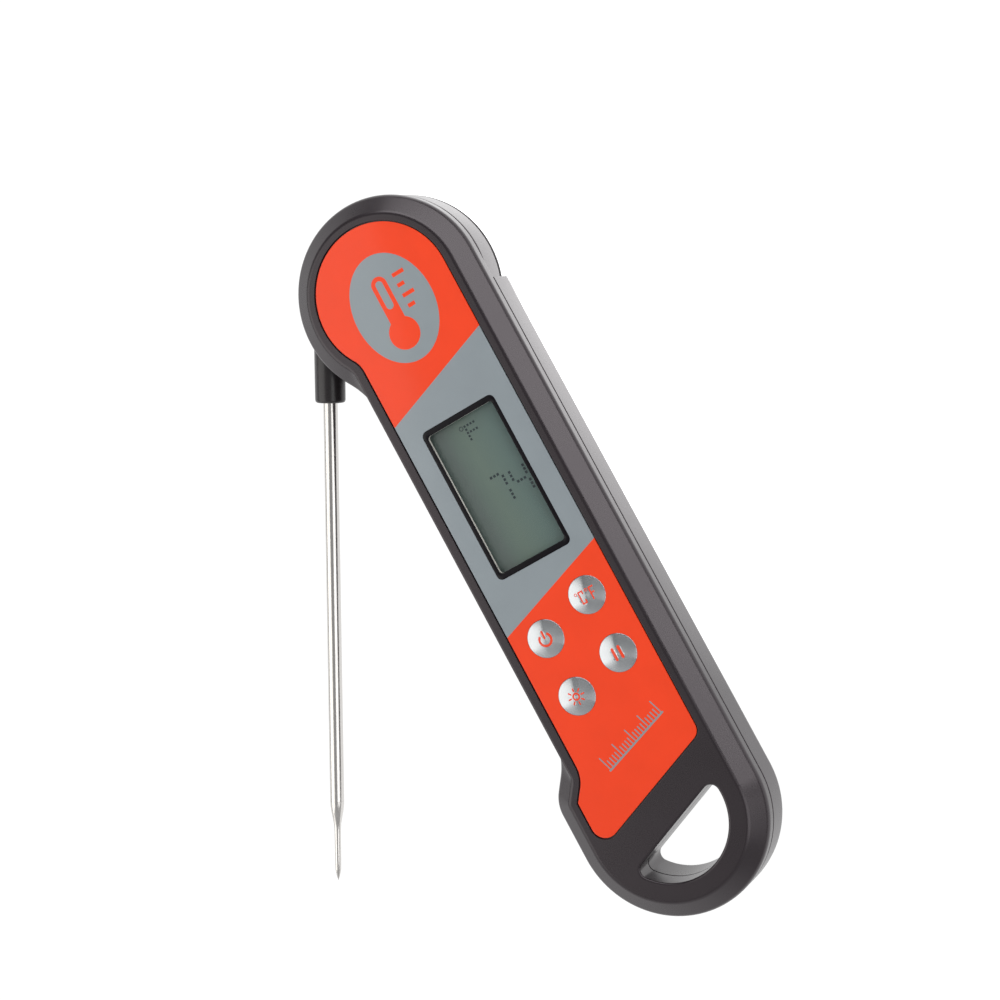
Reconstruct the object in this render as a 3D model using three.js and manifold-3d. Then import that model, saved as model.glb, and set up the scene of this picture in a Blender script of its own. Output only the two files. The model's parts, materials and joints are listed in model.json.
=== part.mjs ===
// A folding meat thermometer. Millimetres, +Z up, lying on its back with the display facing up.
// The origin is where the hinge axis of the probe meets the back plane. +Y points to the head, +X to the right.
// Two case halves hold the display, the buttons, the board and a coin cell. The probe stands in a hub, which is
// the rear half of the round head and turns on a hinge plate screwed into the front half.
import * as THREE from "three";
import { mergeVertices } from "three/addons/utils/BufferGeometryUtils.js";
import Module from "manifold-3d";

const wasm = await Module();
wasm.setup();

// ---------------------------------------------------------------- driving dimensions
const HALF_WIDTH = 20.8; // radius of the head and of the foot
const FOOT_Y = -121.6; // centre of the round foot
const FRONT_Z = 16; // border of the front face
const BEVEL_Z = 12.8; // lower edge of the front bevel
const BEVEL_WIDTH = 3.7;
const SEAM_Z = 9.65; // middle of the joint between the two halves
const SEAM_HALF_GAP = 0.1;
const BACK_CHAMFER = 2;
const WALL = 1.7;
const CEILING_Z = 14.2; // inside of the front face
const FLOOR_Z = 1.8; // inside of the back

const WAIST_X = -14.2; // side wall of the bay the folded probe lies in
const NOTCH_ANGLE = THREE.MathUtils.degToRad(37.7); // slope between the waist and the foot

const OVERLAY_THICKNESS = 0.35;
const OVERLAY_TOP_Z = 15.83;
const OVERLAY_CLEARANCE = 0.12;

const DISPLAY = { x: 1.67, y: -45.75, width: 18, height: 34.5, corner: 1.3 };
const VIEW = { width: 16.1, height: 32, corner: 0.8 }; // the part of the display that shows
const BUTTON_RADIUS = 4;
const BUTTON_TRAVEL = 0.5;
const BUTTONS = { unit: [8.06, -73.85], power: [-4.29, -77.71], hold: [8.07, -87.18], light: [-4.24, -91.04] };

const LOOP_RADIUS = 13;
const LOOP_SLOPE = THREE.MathUtils.degToRad(22.5); // tilt of the loop's flat side
const LOOP_DROP = 1.77; // from the foot's centre down to the loop's flat side
const LOOP_CORNER = 1.8;

const PROBE_OPEN = THREE.MathUtils.degToRad(29.55); // how far the probe stands open
const PROBE_OFFSET = 17.1; // from the hinge axis to the probe
const PROBE_Z = 4.9;
const PROBE_RADIUS = 1.55;
const TIP_RADIUS = 0.72;
const COLLAR_END = 23;
const TUBE_END = 109.5;
const CONE_END = 115.2;
const PROBE_END = 127.3;

const HUB_TOP_Z = 9.35;
const HUB_CEILING_Z = 8.35;
const HUB_COVER_Z = 1.5;
const HUB_WALL = 1.9;
const HUB_GAP = 0.9; // between the hub and the rear shell
const JOURNAL_RADIUS = 6.8;
const JOURNAL_BORE = 4;
const JOURNAL_TOP_Z = 12.9;
const PLATE_Z = 9.85; // underside of the hinge plate
const PLATE_TOP_Z = 11.2;
const PLATE_RADIUS = 18.7;
const PLATE_SCREW_RADIUS = 14.4;
const HUB_SCREW_RADIUS = 15;

const BOARD = { left: -9.3, right: 13.9, top: -29.4, bottom: -95.5, z: 9.9, thickness: 1 };
const SWITCH_TOP_Z = 12.2;

const CELL = { x: 3.3, y: -62, radius: 10, bottom: 2.75, thickness: 3.2 };
const DOOR_RADIUS = 12.6;
const DOOR_BOSS_RADIUS = 11;
const DOOR_TAB_ANGLE = THREE.MathUtils.degToRad(24);
const DOOR_TURN = THREE.MathUtils.degToRad(45);

const BOSS_RADIUS = 2.2;
const SCREW_HEAD_RADIUS = 1.7;
const SCREW_RADIUS = 0.9;
const CASE_SCREWS = [
  [-10.6, -23.6],
  [16.3, -20.6],
  [-10.6, -98.2],
  [16.3, -98.2],
  [-8.5, -136.3],
  [8.5, -136.3],
];

const GAP = 0.3; // left between neighbours that would otherwise touch
const OVER = 1; // how far a cutter passes the face it cuts

// ---------------------------------------------------------------- solids
function solid(geometry) {
  const bare = geometry.clone();
  bare.deleteAttribute("normal");
  bare.deleteAttribute("uv");
  const merged = mergeVertices(bare, 1e-4);
  const vertProperties = merged.attributes.position.array;
  const triVerts = new Uint32Array(merged.index.array);
  return new wasm.Manifold(new wasm.Mesh({ numProp: 3, vertProperties, triVerts }));
}

function geometryOf(body) {
  const { vertProperties, triVerts } = body.getMesh();
  const geometry = new THREE.BufferGeometry();
  geometry.setAttribute("position", new THREE.BufferAttribute(vertProperties, 3));
  geometry.setIndex(new THREE.BufferAttribute(triVerts, 1));
  return geometry;
}

const join = (first, ...rest) => rest.reduce((sum, body) => sum.add(body), first);
const cut = (first, ...rest) => rest.reduce((left, body) => left.subtract(body), first);

function place(name, shape, material, parent) {
  const geometry = shape.isBufferGeometry ? shape : geometryOf(shape);
  const mesh = new THREE.Mesh(geometry, material);
  mesh.name = name;
  parent.add(mesh);
}

// ---------------------------------------------------------------- basic shapes
function extrude(outline, z0, z1) {
  const geometry = new THREE.ExtrudeGeometry(new THREE.Shape(outline), { depth: z1 - z0, bevelEnabled: false });
  return geometry.translate(0, 0, z0);
}

function cylinder(radius, z0, z1, x = 0, y = 0, sides = 24) {
  const geometry = new THREE.CylinderGeometry(radius, radius, z1 - z0, sides);
  return geometry.rotateX(Math.PI / 2).translate(x, y, (z0 + z1) / 2);
}

function box(x0, x1, y0, y1, z0, z1) {
  const geometry = new THREE.BoxGeometry(x1 - x0, y1 - y0, z1 - z0);
  return geometry.translate((x0 + x1) / 2, (y0 + y1) / 2, (z0 + z1) / 2);
}

// A profile of [radius, z] points turned about the Z axis.
function turned(profile, sides = 24) {
  const points = profile.map(([radius, z]) => new THREE.Vector2(radius, z));
  return new THREE.LatheGeometry(points, sides).rotateX(Math.PI / 2);
}

function ring(inner, outer, z0, z1, sides = 32) {
  const profile = [
    [inner, z0],
    [outer, z0],
    [outer, z1],
    [inner, z1],
    [inner, z0],
  ];
  return turned(profile, sides);
}

function torus(radius, thickness, z, sides = 32) {
  const section = [...Array(7).keys()].map((i) => {
    const angle = (i % 6) * (Math.PI / 3);
    return [radius + thickness * Math.cos(angle), z + thickness * Math.sin(angle)];
  });
  return turned(section, sides);
}

// A closed skin through outlines of equal length, each at its own height, lowest first.
function loft(layers) {
  const count = layers[0].outline.length;
  const position = layers.flatMap(({ outline, z }) => outline.flatMap((p) => [p.x, p.y, z]));
  const index = [];
  for (let layer = 0; layer + 1 < layers.length; layer++) {
    for (let i = 0; i < count; i++) {
      const a = layer * count + i;
      const b = layer * count + ((i + 1) % count);
      index.push(a, b, b + count, a, b + count, a + count);
    }
  }
  const lid = (layer, flip) => {
    const first = layer * count;
    for (const [a, b, c] of THREE.ShapeUtils.triangulateShape(layers[layer].outline, [])) {
      index.push(first + a, first + (flip ? c : b), first + (flip ? b : c));
    }
  };
  lid(0, true);
  lid(layers.length - 1, false);
  const geometry = new THREE.BufferGeometry();
  geometry.setAttribute("position", new THREE.Float32BufferAttribute(position, 3));
  geometry.setIndex(index);
  return geometry;
}

function tubeAlong(points, radius, steps, sides = 8) {
  const section = new THREE.Shape(arc(0, 0, radius, 0, 2 * Math.PI, sides).slice(0, sides));
  const extrudePath = new THREE.CatmullRomCurve3(points.map((p) => new THREE.Vector3(...p)));
  return new THREE.ExtrudeGeometry(section, { steps, extrudePath, bevelEnabled: false });
}

// ---------------------------------------------------------------- outlines
function arc(x, y, radius, from, to, steps) {
  return [...Array(steps + 1).keys()].map((i) => {
    const angle = from + ((to - from) * i) / steps;
    return new THREE.Vector2(x + radius * Math.cos(angle), y + radius * Math.sin(angle));
  });
}

// The case seen from the front: round head, straight right side, round foot, and on the left a straight waist,
// which joins the head by a concave fillet and the foot by a slope with a fillet at each end.
const BODY_OUTLINE = {
  radius: HALF_WIDTH,
  waist: WAIST_X,
  headFillet: 20,
  slopeY: -100.25, // where the slope's line meets the waist's line
  slopeFillet: 14,
  footFillet: 8,
};
const FACE_OUTLINE = {
  radius: HALF_WIDTH - BEVEL_WIDTH,
  waist: WAIST_X + GAP,
  headFillet: 5,
  slopeY: -105.8,
  slopeFillet: 2.5,
  footFillet: 1.8,
};

function headArcs(o, y, steps) {
  const filletX = o.waist - o.headFillet;
  const filletY = y - Math.sqrt((o.radius + o.headFillet) ** 2 - filletX ** 2);
  const meeting = Math.atan2(filletY - y, filletX) + 2 * Math.PI;
  return [
    ...arc(0, y, o.radius, 0, meeting, steps),
    ...arc(filletX, filletY, o.headFillet, meeting - Math.PI, 0, 5).slice(1),
  ];
}

function slopeArcs(o) {
  const halfTurn = Math.tan(NOTCH_ANGLE / 2);
  const footCornerY = o.slopeY - (o.waist + o.radius) / Math.tan(NOTCH_ANGLE);
  const upper = [o.waist - o.slopeFillet, o.slopeY + o.slopeFillet * halfTurn];
  const lower = [o.footFillet - o.radius, footCornerY - o.footFillet * halfTurn];
  return [
    ...arc(...upper, o.slopeFillet, 0, -NOTCH_ANGLE, 4),
    ...arc(...lower, o.footFillet, Math.PI - NOTCH_ANGLE, Math.PI, 4),
  ];
}

function caseOutline(o) {
  return [...headArcs(o, 0, 26), ...slopeArcs(o), ...arc(0, FOOT_Y, o.radius, Math.PI, 2 * Math.PI, 20)];
}

function inset(o, by) {
  return {
    radius: o.radius - by,
    waist: o.waist + by,
    headFillet: o.headFillet + by,
    slopeY: o.slopeY - by * Math.tan(NOTCH_ANGLE / 2),
    slopeFillet: o.slopeFillet + by,
    footFillet: Math.max(o.footFillet - by, 0.2),
  };
}

// The overlay's outline follows the face, and ends below the buttons in a slanted straight edge.
const OVERLAY = {
  radius: 15.2,
  waist: -11.72,
  headFillet: 6,
  slopeY: -106,
  slopeFillet: 7,
  footFillet: 0.2,
  headY: 0.15,
  endY: -114.92, // where the slanted edge crosses x = 0
  endSlope: THREE.MathUtils.degToRad(21.87),
  leftCorner: 3,
  rightCorner: 2.5,
};

function overlayOutline(grow = 0) {
  const o = { ...OVERLAY, ...inset(OVERLAY, -grow) };
  const endY = OVERLAY.endY - grow / Math.cos(OVERLAY.endSlope);
  const down = OVERLAY.endSlope - Math.PI / 2;
  const corner = (side, radius, turn) => {
    const meetY = endY + side * o.radius * Math.tan(OVERLAY.endSlope);
    return [side * (o.radius - radius), meetY + radius * Math.tan(turn / 2)];
  };
  const left = corner(-1, o.leftCorner, Math.PI / 2 + OVERLAY.endSlope);
  const right = corner(1, o.rightCorner, Math.PI / 2 - OVERLAY.endSlope);
  return [
    ...headArcs(o, o.headY, 24),
    ...slopeArcs(o),
    ...arc(...left, o.leftCorner, Math.PI, 2 * Math.PI + down, 6),
    ...arc(...right, o.rightCorner, down, 0, 5),
  ];
}

// The hanging loop: a circle about the foot's centre, cut off by a slanted flat side, with round corners.
function loopOutline(grow = 0) {
  const radius = LOOP_RADIUS + grow;
  const corner = LOOP_CORNER + grow;
  const drop = LOOP_DROP - grow + corner;
  const along = Math.sqrt((radius - corner) ** 2 - drop ** 2);
  const dip = Math.atan2(drop, along);
  const spot = (side) => [
    side * along * Math.cos(LOOP_SLOPE) + drop * Math.sin(LOOP_SLOPE),
    FOOT_Y + side * along * Math.sin(LOOP_SLOPE) - drop * Math.cos(LOOP_SLOPE),
  ];
  const leftEnd = LOOP_SLOPE + Math.PI + dip;
  const rightEnd = LOOP_SLOPE - dip;
  const flat = LOOP_SLOPE + Math.PI / 2;
  return [
    ...arc(0, FOOT_Y, radius, leftEnd, rightEnd + 2 * Math.PI, 16),
    ...arc(...spot(1), corner, rightEnd, flat, 4).slice(1),
    ...arc(...spot(-1), corner, flat, leftEnd, 4).slice(0, -1),
  ];
}

function roundedRectangle(x, y, width, height, corner) {
  const right = x + width / 2 - corner;
  const left = x - width / 2 + corner;
  const top = y + height / 2 - corner;
  const bottom = y - height / 2 + corner;
  const quarter = Math.PI / 2;
  return [
    ...arc(right, top, corner, 0, quarter, 4),
    ...arc(left, top, corner, quarter, 2 * quarter, 4),
    ...arc(left, bottom, corner, 2 * quarter, 3 * quarter, 4),
    ...arc(right, bottom, corner, 3 * quarter, 4 * quarter, 4),
  ];
}

const displayOutline = (grow = 0) =>
  roundedRectangle(DISPLAY.x, DISPLAY.y, DISPLAY.width + 2 * grow, DISPLAY.height + 2 * grow, DISPLAY.corner + grow);
const viewOutline = () => roundedRectangle(DISPLAY.x, DISPLAY.y, VIEW.width, VIEW.height, VIEW.corner);

// Points on a circle about the hinge axis, from the given angle on, evenly spread.
function spread(count, radius, start) {
  return [...Array(count).keys()].map((i) => {
    const angle = start + (i * 2 * Math.PI) / count;
    return [radius * Math.cos(angle), radius * Math.sin(angle)];
  });
}

// ---------------------------------------------------------------- materials
const plain = (color, roughness, metalness = 0) => new THREE.MeshStandardMaterial({ color, roughness, metalness });
const charcoal = plain(0x343034, 0.55);
const darkPlastic = plain(0x2b272b, 0.35);
const orangeFilm = plain(0xfc4e28, 0.3);
const blackInk = plain(0x1c181c, 0.25);
const clearLens = plain(0xd8dcd8, 0.05);
const displayGlass = plain(0x64786e, 0.2);
const silverPaint = plain(0xb4b9bc, 0.35, 0.7);
const stainless = plain(0xc8c6c2, 0.25, 1);
const springSteel = plain(0xb0aeaa, 0.3, 1);
const screwSteel = plain(0x8c8a88, 0.35, 1);
const whitePlastic = plain(0xe4e4e0, 0.5);
const boardGreen = plain(0x1f5a38, 0.5);
const chipBlack = plain(0x111111, 0.3);
const sealRubber = plain(0x3a3a3c, 0.85);
const naturalPlastic = plain(0xd9d4c6, 0.5);
const cellSteel = plain(0xc4c6c8, 0.3, 1);
const wireCoat = plain(0xb8452c, 0.6);

// ---------------------------------------------------------------- case halves
function frontShell() {
  const base = SEAM_Z + SEAM_HALF_GAP;
  const body = caseOutline(BODY_OUTLINE);
  const skin = solid(
    loft([
      { outline: body, z: base },
      { outline: body, z: BEVEL_Z },
      { outline: caseOutline(FACE_OUTLINE), z: FRONT_Z },
    ])
  );
  const inner = caseOutline(inset(BODY_OUTLINE, WALL));
  const hollow = solid(
    loft([
      { outline: inner, z: base - OVER },
      { outline: inner, z: BEVEL_Z - WALL / 2 },
      { outline: caseOutline(inset(FACE_OUTLINE, WALL)), z: CEILING_Z },
    ])
  );
  const hubRing = solid(ring(PLATE_RADIUS + GAP, HALF_WIDTH + HUB_GAP + WALL, base, 11.4, 48));
  const loopWall = solid(extrude(loopOutline(WALL), base, CEILING_Z + 0.5));
  const posts = CASE_SCREWS.map(([x, y]) => solid(cylinder(BOSS_RADIUS, base, CEILING_Z + 0.5, x, y, 8)));
  const plateZ = PLATE_TOP_Z + SEAM_HALF_GAP;
  const plateSpots = spread(3, PLATE_SCREW_RADIUS, Math.PI / 2);
  const platePosts = plateSpots.map(([x, y]) => solid(cylinder(BOSS_RADIUS, plateZ, CEILING_Z + 0.5, x, y, 8)));
  const inside = join(hubRing, loopWall, ...posts, ...platePosts).intersect(skin);
  const pilots = CASE_SCREWS.map(([x, y]) => solid(cylinder(SCREW_RADIUS + 0.1, base - OVER, 13.4, x, y, 8)));
  const platePilots = plateSpots.map(([x, y]) => solid(cylinder(SCREW_RADIUS + 0.1, plateZ - OVER, 13.8, x, y, 8)));
  const recessZ = OVERLAY_TOP_Z - OVERLAY_THICKNESS - 0.05;
  const buttonHoles = Object.values(BUTTONS).map(([x, y]) =>
    solid(cylinder(BUTTON_RADIUS + 0.3, CEILING_Z - OVER, FRONT_Z + OVER, x, y, 22))
  );
  return cut(
    join(cut(skin, hollow), inside),
    ...pilots,
    ...platePilots,
    solid(extrude(overlayOutline(OVERLAY_CLEARANCE), recessZ, FRONT_Z + OVER)),
    solid(extrude(displayOutline(0.1), CEILING_Z - OVER, FRONT_Z + OVER)),
    solid(extrude(loopOutline(), base - OVER, FRONT_Z + OVER)),
    ...buttonHoles
  );
}

// The walls round the slot that takes the folded probe's tip, open to the left.
const SLOT = { right: -15.2, top: -97, bottom: -129.6, z0: 2.65, z1: 7.15 };

function rearShell() {
  const top = SEAM_Z - SEAM_HALF_GAP;
  const body = caseOutline(BODY_OUTLINE);
  const skin = solid(
    loft([
      { outline: caseOutline(inset(BODY_OUTLINE, BACK_CHAMFER)), z: 0 },
      { outline: body, z: BACK_CHAMFER },
      { outline: body, z: top },
    ])
  );
  const hollow = solid(extrude(caseOutline(inset(BODY_OUTLINE, WALL + 0.3)), FLOOR_Z, top + OVER));
  const hubHole = HALF_WIDTH + HUB_GAP;
  const hubWall = solid(cylinder(hubHole + WALL, 0, top, 0, 0, 48));
  const loopWall = solid(extrude(loopOutline(WALL), 0, top));
  const slotBlock = solid(box(-HALF_WIDTH, SLOT.right + 1.4, SLOT.bottom - 1.4, SLOT.top, 0, top));
  const collarBlock = solid(box(-HALF_WIDTH, WAIST_X + 2.6, -COLLAR_END - 2.6, 0, 0, top));
  const bosses = CASE_SCREWS.map(([x, y]) => solid(cylinder(BOSS_RADIUS, 0, top, x, y, 8)));
  const inside = join(hubWall, loopWall, slotBlock, collarBlock, ...bosses).intersect(skin);
  const screwHoles = CASE_SCREWS.map(([x, y]) => solid(cylinder(SCREW_RADIUS + 0.2, -OVER, top + OVER, x, y, 8)));
  const headHoles = CASE_SCREWS.map(([x, y]) => solid(cylinder(SCREW_HEAD_RADIUS + 0.25, -OVER, 1.5, x, y, 8)));
  return cut(
    join(cut(skin, hollow), inside),
    ...screwHoles,
    ...headHoles,
    solid(cylinder(hubHole, -OVER, top + OVER, 0, 0, 48)),
    solid(extrude(loopOutline(), -OVER, top + OVER)),
    solid(box(-HALF_WIDTH - OVER, SLOT.right, SLOT.bottom, SLOT.top + 2, SLOT.z0, SLOT.z1)),
    solid(box(-HALF_WIDTH - OVER, WAIST_X + 0.9, -COLLAR_END - 1.2, OVER, 1.1, 8.8)),
    doorOpening()
  );
}

// A recess for the battery door's plate, and a hole with three notches that let its tabs in.
function doorOpening() {
  const tabReach = DOOR_RADIUS + GAP;
  const recess = solid(cylinder(DOOR_RADIUS + GAP, -OVER, 1.4, 0, 0, 36));
  const hole = solid(cylinder(DOOR_BOSS_RADIUS + GAP, 0, FLOOR_Z + OVER, 0, 0, 36));
  const notches = doorTabs(tabReach, DOOR_TAB_ANGLE * 1.3, 0, FLOOR_Z + OVER).map((tab) => solid(tab));
  notches.forEach((notch, i) => (notches[i] = notch.rotate([0, 0, THREE.MathUtils.radToDeg(-DOOR_TURN)])));
  return join(recess, hole, ...notches).translate([CELL.x, CELL.y, 0]);
}

function doorTabs(reach, angle, z0, z1) {
  return [0, 1, 2].map((i) => {
    const middle = Math.PI / 2 + (i * 2 * Math.PI) / 3;
    const outer = arc(0, 0, reach, middle - angle / 2, middle + angle / 2, 5);
    const inner = arc(0, 0, DOOR_BOSS_RADIUS - OVER, middle + angle / 2, middle - angle / 2, 5);
    return extrude([...outer, ...inner], z0, z1);
  });
}

// ---------------------------------------------------------------- front face
function overlay() {
  const z = OVERLAY_TOP_Z - OVERLAY_THICKNESS;
  const sheet = solid(extrude(overlayOutline(), z, OVERLAY_TOP_Z));
  const holes = Object.values(BUTTONS).map(([x, y]) =>
    solid(cylinder(BUTTON_RADIUS + 0.2, z - OVER, OVERLAY_TOP_Z + OVER, x, y, 22))
  );
  return cut(sheet, solid(extrude(displayOutline(), z - OVER, OVERLAY_TOP_Z + OVER)), ...holes);
}

function displayBezel() {
  const frame = solid(extrude(displayOutline(-0.05), 14.9, OVERLAY_TOP_Z));
  return cut(frame, solid(extrude(viewOutline(), 14, FRONT_Z + OVER)));
}

function displayWindow() {
  return extrude(displayOutline(-0.05), 14.2, 14.85);
}

function lcdFrame() {
  const outer = roundedRectangle(DISPLAY.x, DISPLAY.y, DISPLAY.width + 3, DISPLAY.height + 3, 1);
  const z = BOARD.z + BOARD.thickness + 0.05;
  const frame = solid(extrude(outer, z, CEILING_Z - 0.1));
  return cut(frame, solid(extrude(displayOutline(0.2), z - OVER, CEILING_Z + OVER)));
}

const lcdPanel = () => extrude(displayOutline(-0.1), 12.5, 14.1);
const backlightPlate = () =>
  box(DISPLAY.x - 8.6, DISPLAY.x + 8.6, DISPLAY.y - 13.6, DISPLAY.y + 17, BOARD.z + BOARD.thickness + 0.1, 12.4);
const lcdConnector = () =>
  box(DISPLAY.x - 8.6, DISPLAY.x + 8.6, DISPLAY.y - 16.8, DISPLAY.y - 14.6, BOARD.z + BOARD.thickness + 0.05, 12.45);

// A domed cap with a flange under the face and a stem towards its switch.
function button() {
  const stemZ = SWITCH_TOP_Z + BUTTON_TRAVEL + 0.1;
  const flangeZ = 13.3;
  const edgeZ = 16;
  const dome = 0.45;
  const rim = [...Array(4).keys()].map((i) => {
    const share = 1 - i / 3;
    return [(BUTTON_RADIUS - 0.15) * share, edgeZ + dome * (1 - share ** 2)];
  });
  return turned(
    [
      [0, stemZ],
      [1.3, stemZ],
      [1.3, flangeZ],
      [BUTTON_RADIUS + 0.9, flangeZ],
      [BUTTON_RADIUS + 0.9, CEILING_Z - 0.15],
      [BUTTON_RADIUS, CEILING_Z - 0.15],
      [BUTTON_RADIUS, edgeZ - 0.15],
      ...rim,
    ],
    18
  );
}

function pushSwitch(x, y) {
  const z = BOARD.z + BOARD.thickness;
  const base = solid(box(x - 2.2, x + 2.2, y - 2.2, y + 2.2, z + 0.02, z + 0.85));
  return join(base, solid(cylinder(1.1, z + 0.5, SWITCH_TOP_Z, x, y, 8)));
}

// ---------------------------------------------------------------- electronics and battery
const mainBoard = () => box(BOARD.left, BOARD.right, BOARD.bottom, BOARD.top, BOARD.z, BOARD.z + BOARD.thickness);

function bondedChip() {
  const dome = turned(
    [
      [0, -1.1],
      [1.8, -1],
      [3.2, -0.6],
      [4, -0.05],
      [0, -0.05],
    ],
    20
  );
  return dome.translate(8, -84, BOARD.z);
}

function batteryHolder() {
  const wall = ring(CELL.radius + 0.5, CELL.radius + 1.7, CELL.bottom + 0.1, 8.6);
  const roof = cylinder(CELL.radius + 1.7, 7.9, 8.9, 0, 0, 32);
  const spring = box(-CELL.radius - 3, -CELL.radius + 0.6, -2.2, 2.2, 0, 10);
  const vent = cylinder(2, 7, 9.5, 0, 0, 16);
  return cut(join(solid(wall), solid(roof)), solid(spring), solid(vent)).translate([CELL.x, CELL.y, 0]);
}

function coinCell() {
  const edge = 0.3;
  const { radius, bottom, thickness } = CELL;
  const profile = [
    [0, bottom],
    [radius - edge, bottom],
    [radius, bottom + edge],
    [radius, bottom + thickness - 0.8],
    [radius - 1.2, bottom + thickness - 0.5],
    [radius - 1.4, bottom + thickness],
    [0, bottom + thickness],
  ];
  return turned(profile, 32).translate(CELL.x, CELL.y, 0);
}

// A bent strip: its centre line in the XZ plane, its thickness and its width along Y.
function strip(line, thickness, width) {
  const side = line.map(([x, z], i) => {
    const [ax, az] = line[Math.max(i - 1, 0)];
    const [bx, bz] = line[Math.min(i + 1, line.length - 1)];
    const length = Math.hypot(bx - ax, bz - az);
    return [((az - bz) / length) * (thickness / 2), ((bx - ax) / length) * (thickness / 2), x, z];
  });
  const left = side.map(([dx, dz, x, z]) => new THREE.Vector2(x + dx, z + dz));
  const right = side.map(([dx, dz, x, z]) => new THREE.Vector2(x - dx, z - dz));
  const shape = new THREE.Shape([...right, ...left.reverse()]);
  const geometry = new THREE.ExtrudeGeometry(shape, { depth: width, bevelEnabled: false });
  return geometry.rotateX(Math.PI / 2).translate(0, width / 2, 0);
}

function contactNegative() {
  const line = [
    [-5, 7.6],
    [-1, 7.6],
    [3, 6.35],
    [4.6, 6.15],
    [6.2, 6.5],
  ];
  return strip(line, 0.25, 3).translate(CELL.x, CELL.y, 0);
}

function contactPositive() {
  const x = -CELL.radius - 0.4;
  const line = [
    [x, 3.4],
    [x + 0.15, 4.6],
    [x - 0.3, 6],
    [x - 0.3, 9.6],
  ];
  return strip(line, 0.25, 3).translate(CELL.x, CELL.y, 0);
}

function batteryDoor() {
  const plate = solid(cylinder(DOOR_RADIUS, 0.15, 0.95, 0, 0, 36));
  const boss = solid(cylinder(DOOR_BOSS_RADIUS, 0.5, 2.6, 0, 0, 36));
  const tabs = doorTabs(DOOR_RADIUS - 0.2, DOOR_TAB_ANGLE, 2.1, 2.6).map((tab) => solid(tab));
  const coinSlot = solid(box(-7.5, 7.5, -0.9, 0.9, -OVER, 0.65));
  return cut(join(plate, boss, ...tabs), coinSlot).translate([CELL.x, CELL.y, 0]);
}

const doorSeal = () => ring(DOOR_BOSS_RADIUS + 0.1, DOOR_RADIUS - 0.1, 1, 1.35).translate(CELL.x, CELL.y, 0);

function boardLead() {
  const route = [
    [0, 0, 13.45],
    [0, -2.5, 13.6],
    [0.5, -10, 13.6],
    [1, -20, 13.5],
    [1.2, -24.2, 12.6],
    [1.2, -25.6, 11.6],
  ];
  return tubeAlong(route, 0.4, 20);
}

// ---------------------------------------------------------------- hub and probe, drawn folded
function hubShell() {
  const wallZ = HUB_COVER_Z + 0.15;
  const cup = solid(
    turned(
      [
        [HALF_WIDTH - HUB_WALL, wallZ],
        [HALF_WIDTH, wallZ],
        [HALF_WIDTH, HUB_TOP_Z],
        [JOURNAL_RADIUS, HUB_TOP_Z],
        [JOURNAL_RADIUS, JOURNAL_TOP_Z],
        [JOURNAL_BORE, JOURNAL_TOP_Z],
        [JOURNAL_BORE, HUB_CEILING_Z],
        [HALF_WIDTH - HUB_WALL, HUB_CEILING_Z],
        [HALF_WIDTH - HUB_WALL, wallZ],
      ],
      48
    )
  );
  const spots = spread(3, HUB_SCREW_RADIUS, 0);
  const posts = spots.map(([x, y]) => solid(cylinder(BOSS_RADIUS, wallZ, HUB_CEILING_Z + 0.5, x, y, 8)));
  const pilots = spots.map(([x, y]) => solid(cylinder(SCREW_RADIUS + 0.1, 0, 7.4, x, y, 8)));
  const clipGroove = solid(ring(JOURNAL_RADIUS - 0.6, JOURNAL_RADIUS + OVER, 12, 12.6, 40));
  const sealGroove = solid(ring(9, 10.4, 8.85, HUB_TOP_Z + OVER, 40));
  const collarHole = solid(alongProbe([[0, 2.8], [3.3, 2.8], [3.3, 30], [0, 30]], 24));
  return cut(join(cup, ...posts), ...pilots, clipGroove, sealGroove, collarHole);
}

// A profile of [radius, distance along the probe from the foot of the hinge's perpendicular].
function alongProbe(profile, sides = 20) {
  const points = profile.map(([radius, along]) => new THREE.Vector2(radius, along));
  return new THREE.LatheGeometry(points, sides).rotateX(Math.PI).translate(-PROBE_OFFSET, 0, PROBE_Z);
}

function hubCover() {
  const plate = turned(
    [
      [0, 0],
      [HALF_WIDTH - 0.8, 0],
      [HALF_WIDTH, 0.8],
      [HALF_WIDTH, HUB_COVER_Z],
      [0, HUB_COVER_Z],
    ],
    48
  );
  const spots = spread(3, HUB_SCREW_RADIUS, 0);
  const holes = spots.map(([x, y]) => solid(cylinder(SCREW_RADIUS + 0.15, -OVER, HUB_COVER_Z + OVER, x, y, 8)));
  const headHoles = spots.map(([x, y]) => solid(cylinder(SCREW_HEAD_RADIUS + 0.2, -OVER, 0.9, x, y, 8)));
  return cut(solid(plate), ...holes, ...headHoles);
}

const probeCollar = () =>
  cut(
    solid(alongProbe([[0, 3.2], [3.05, 3.2], [3.2, 8], [3.02, COLLAR_END - 0.4], [2.7, COLLAR_END], [0, COLLAR_END]])),
    solid(alongProbe([[0, 2], [PROBE_RADIUS + 0.05, 2], [PROBE_RADIUS + 0.05, 30], [0, 30]]))
  );

const probeTube = () =>
  alongProbe([[1.2, 6], [PROBE_RADIUS, 6], [PROBE_RADIUS, TUBE_END], [1.2, TUBE_END], [1.2, 6]], 24);

const probeTip = () =>
  alongProbe(
    [
      [0.45, TUBE_END + 0.02],
      [PROBE_RADIUS, TUBE_END + 0.02],
      [PROBE_RADIUS - 0.3, TUBE_END + 2.4],
      [TIP_RADIUS, CONE_END],
      [TIP_RADIUS - 0.04, PROBE_END - 2.6],
      [0, PROBE_END],
      [0, PROBE_END - 3.6],
      [0.45, PROBE_END - 3.6],
      [0.45, TUBE_END + 0.02],
    ],
    20
  );

const temperatureSensor = () => alongProbe([[0, 121], [0.25, 121.1], [0.35, 121.7], [0.35, 122.6], [0, 123.2]], 12);

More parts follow.
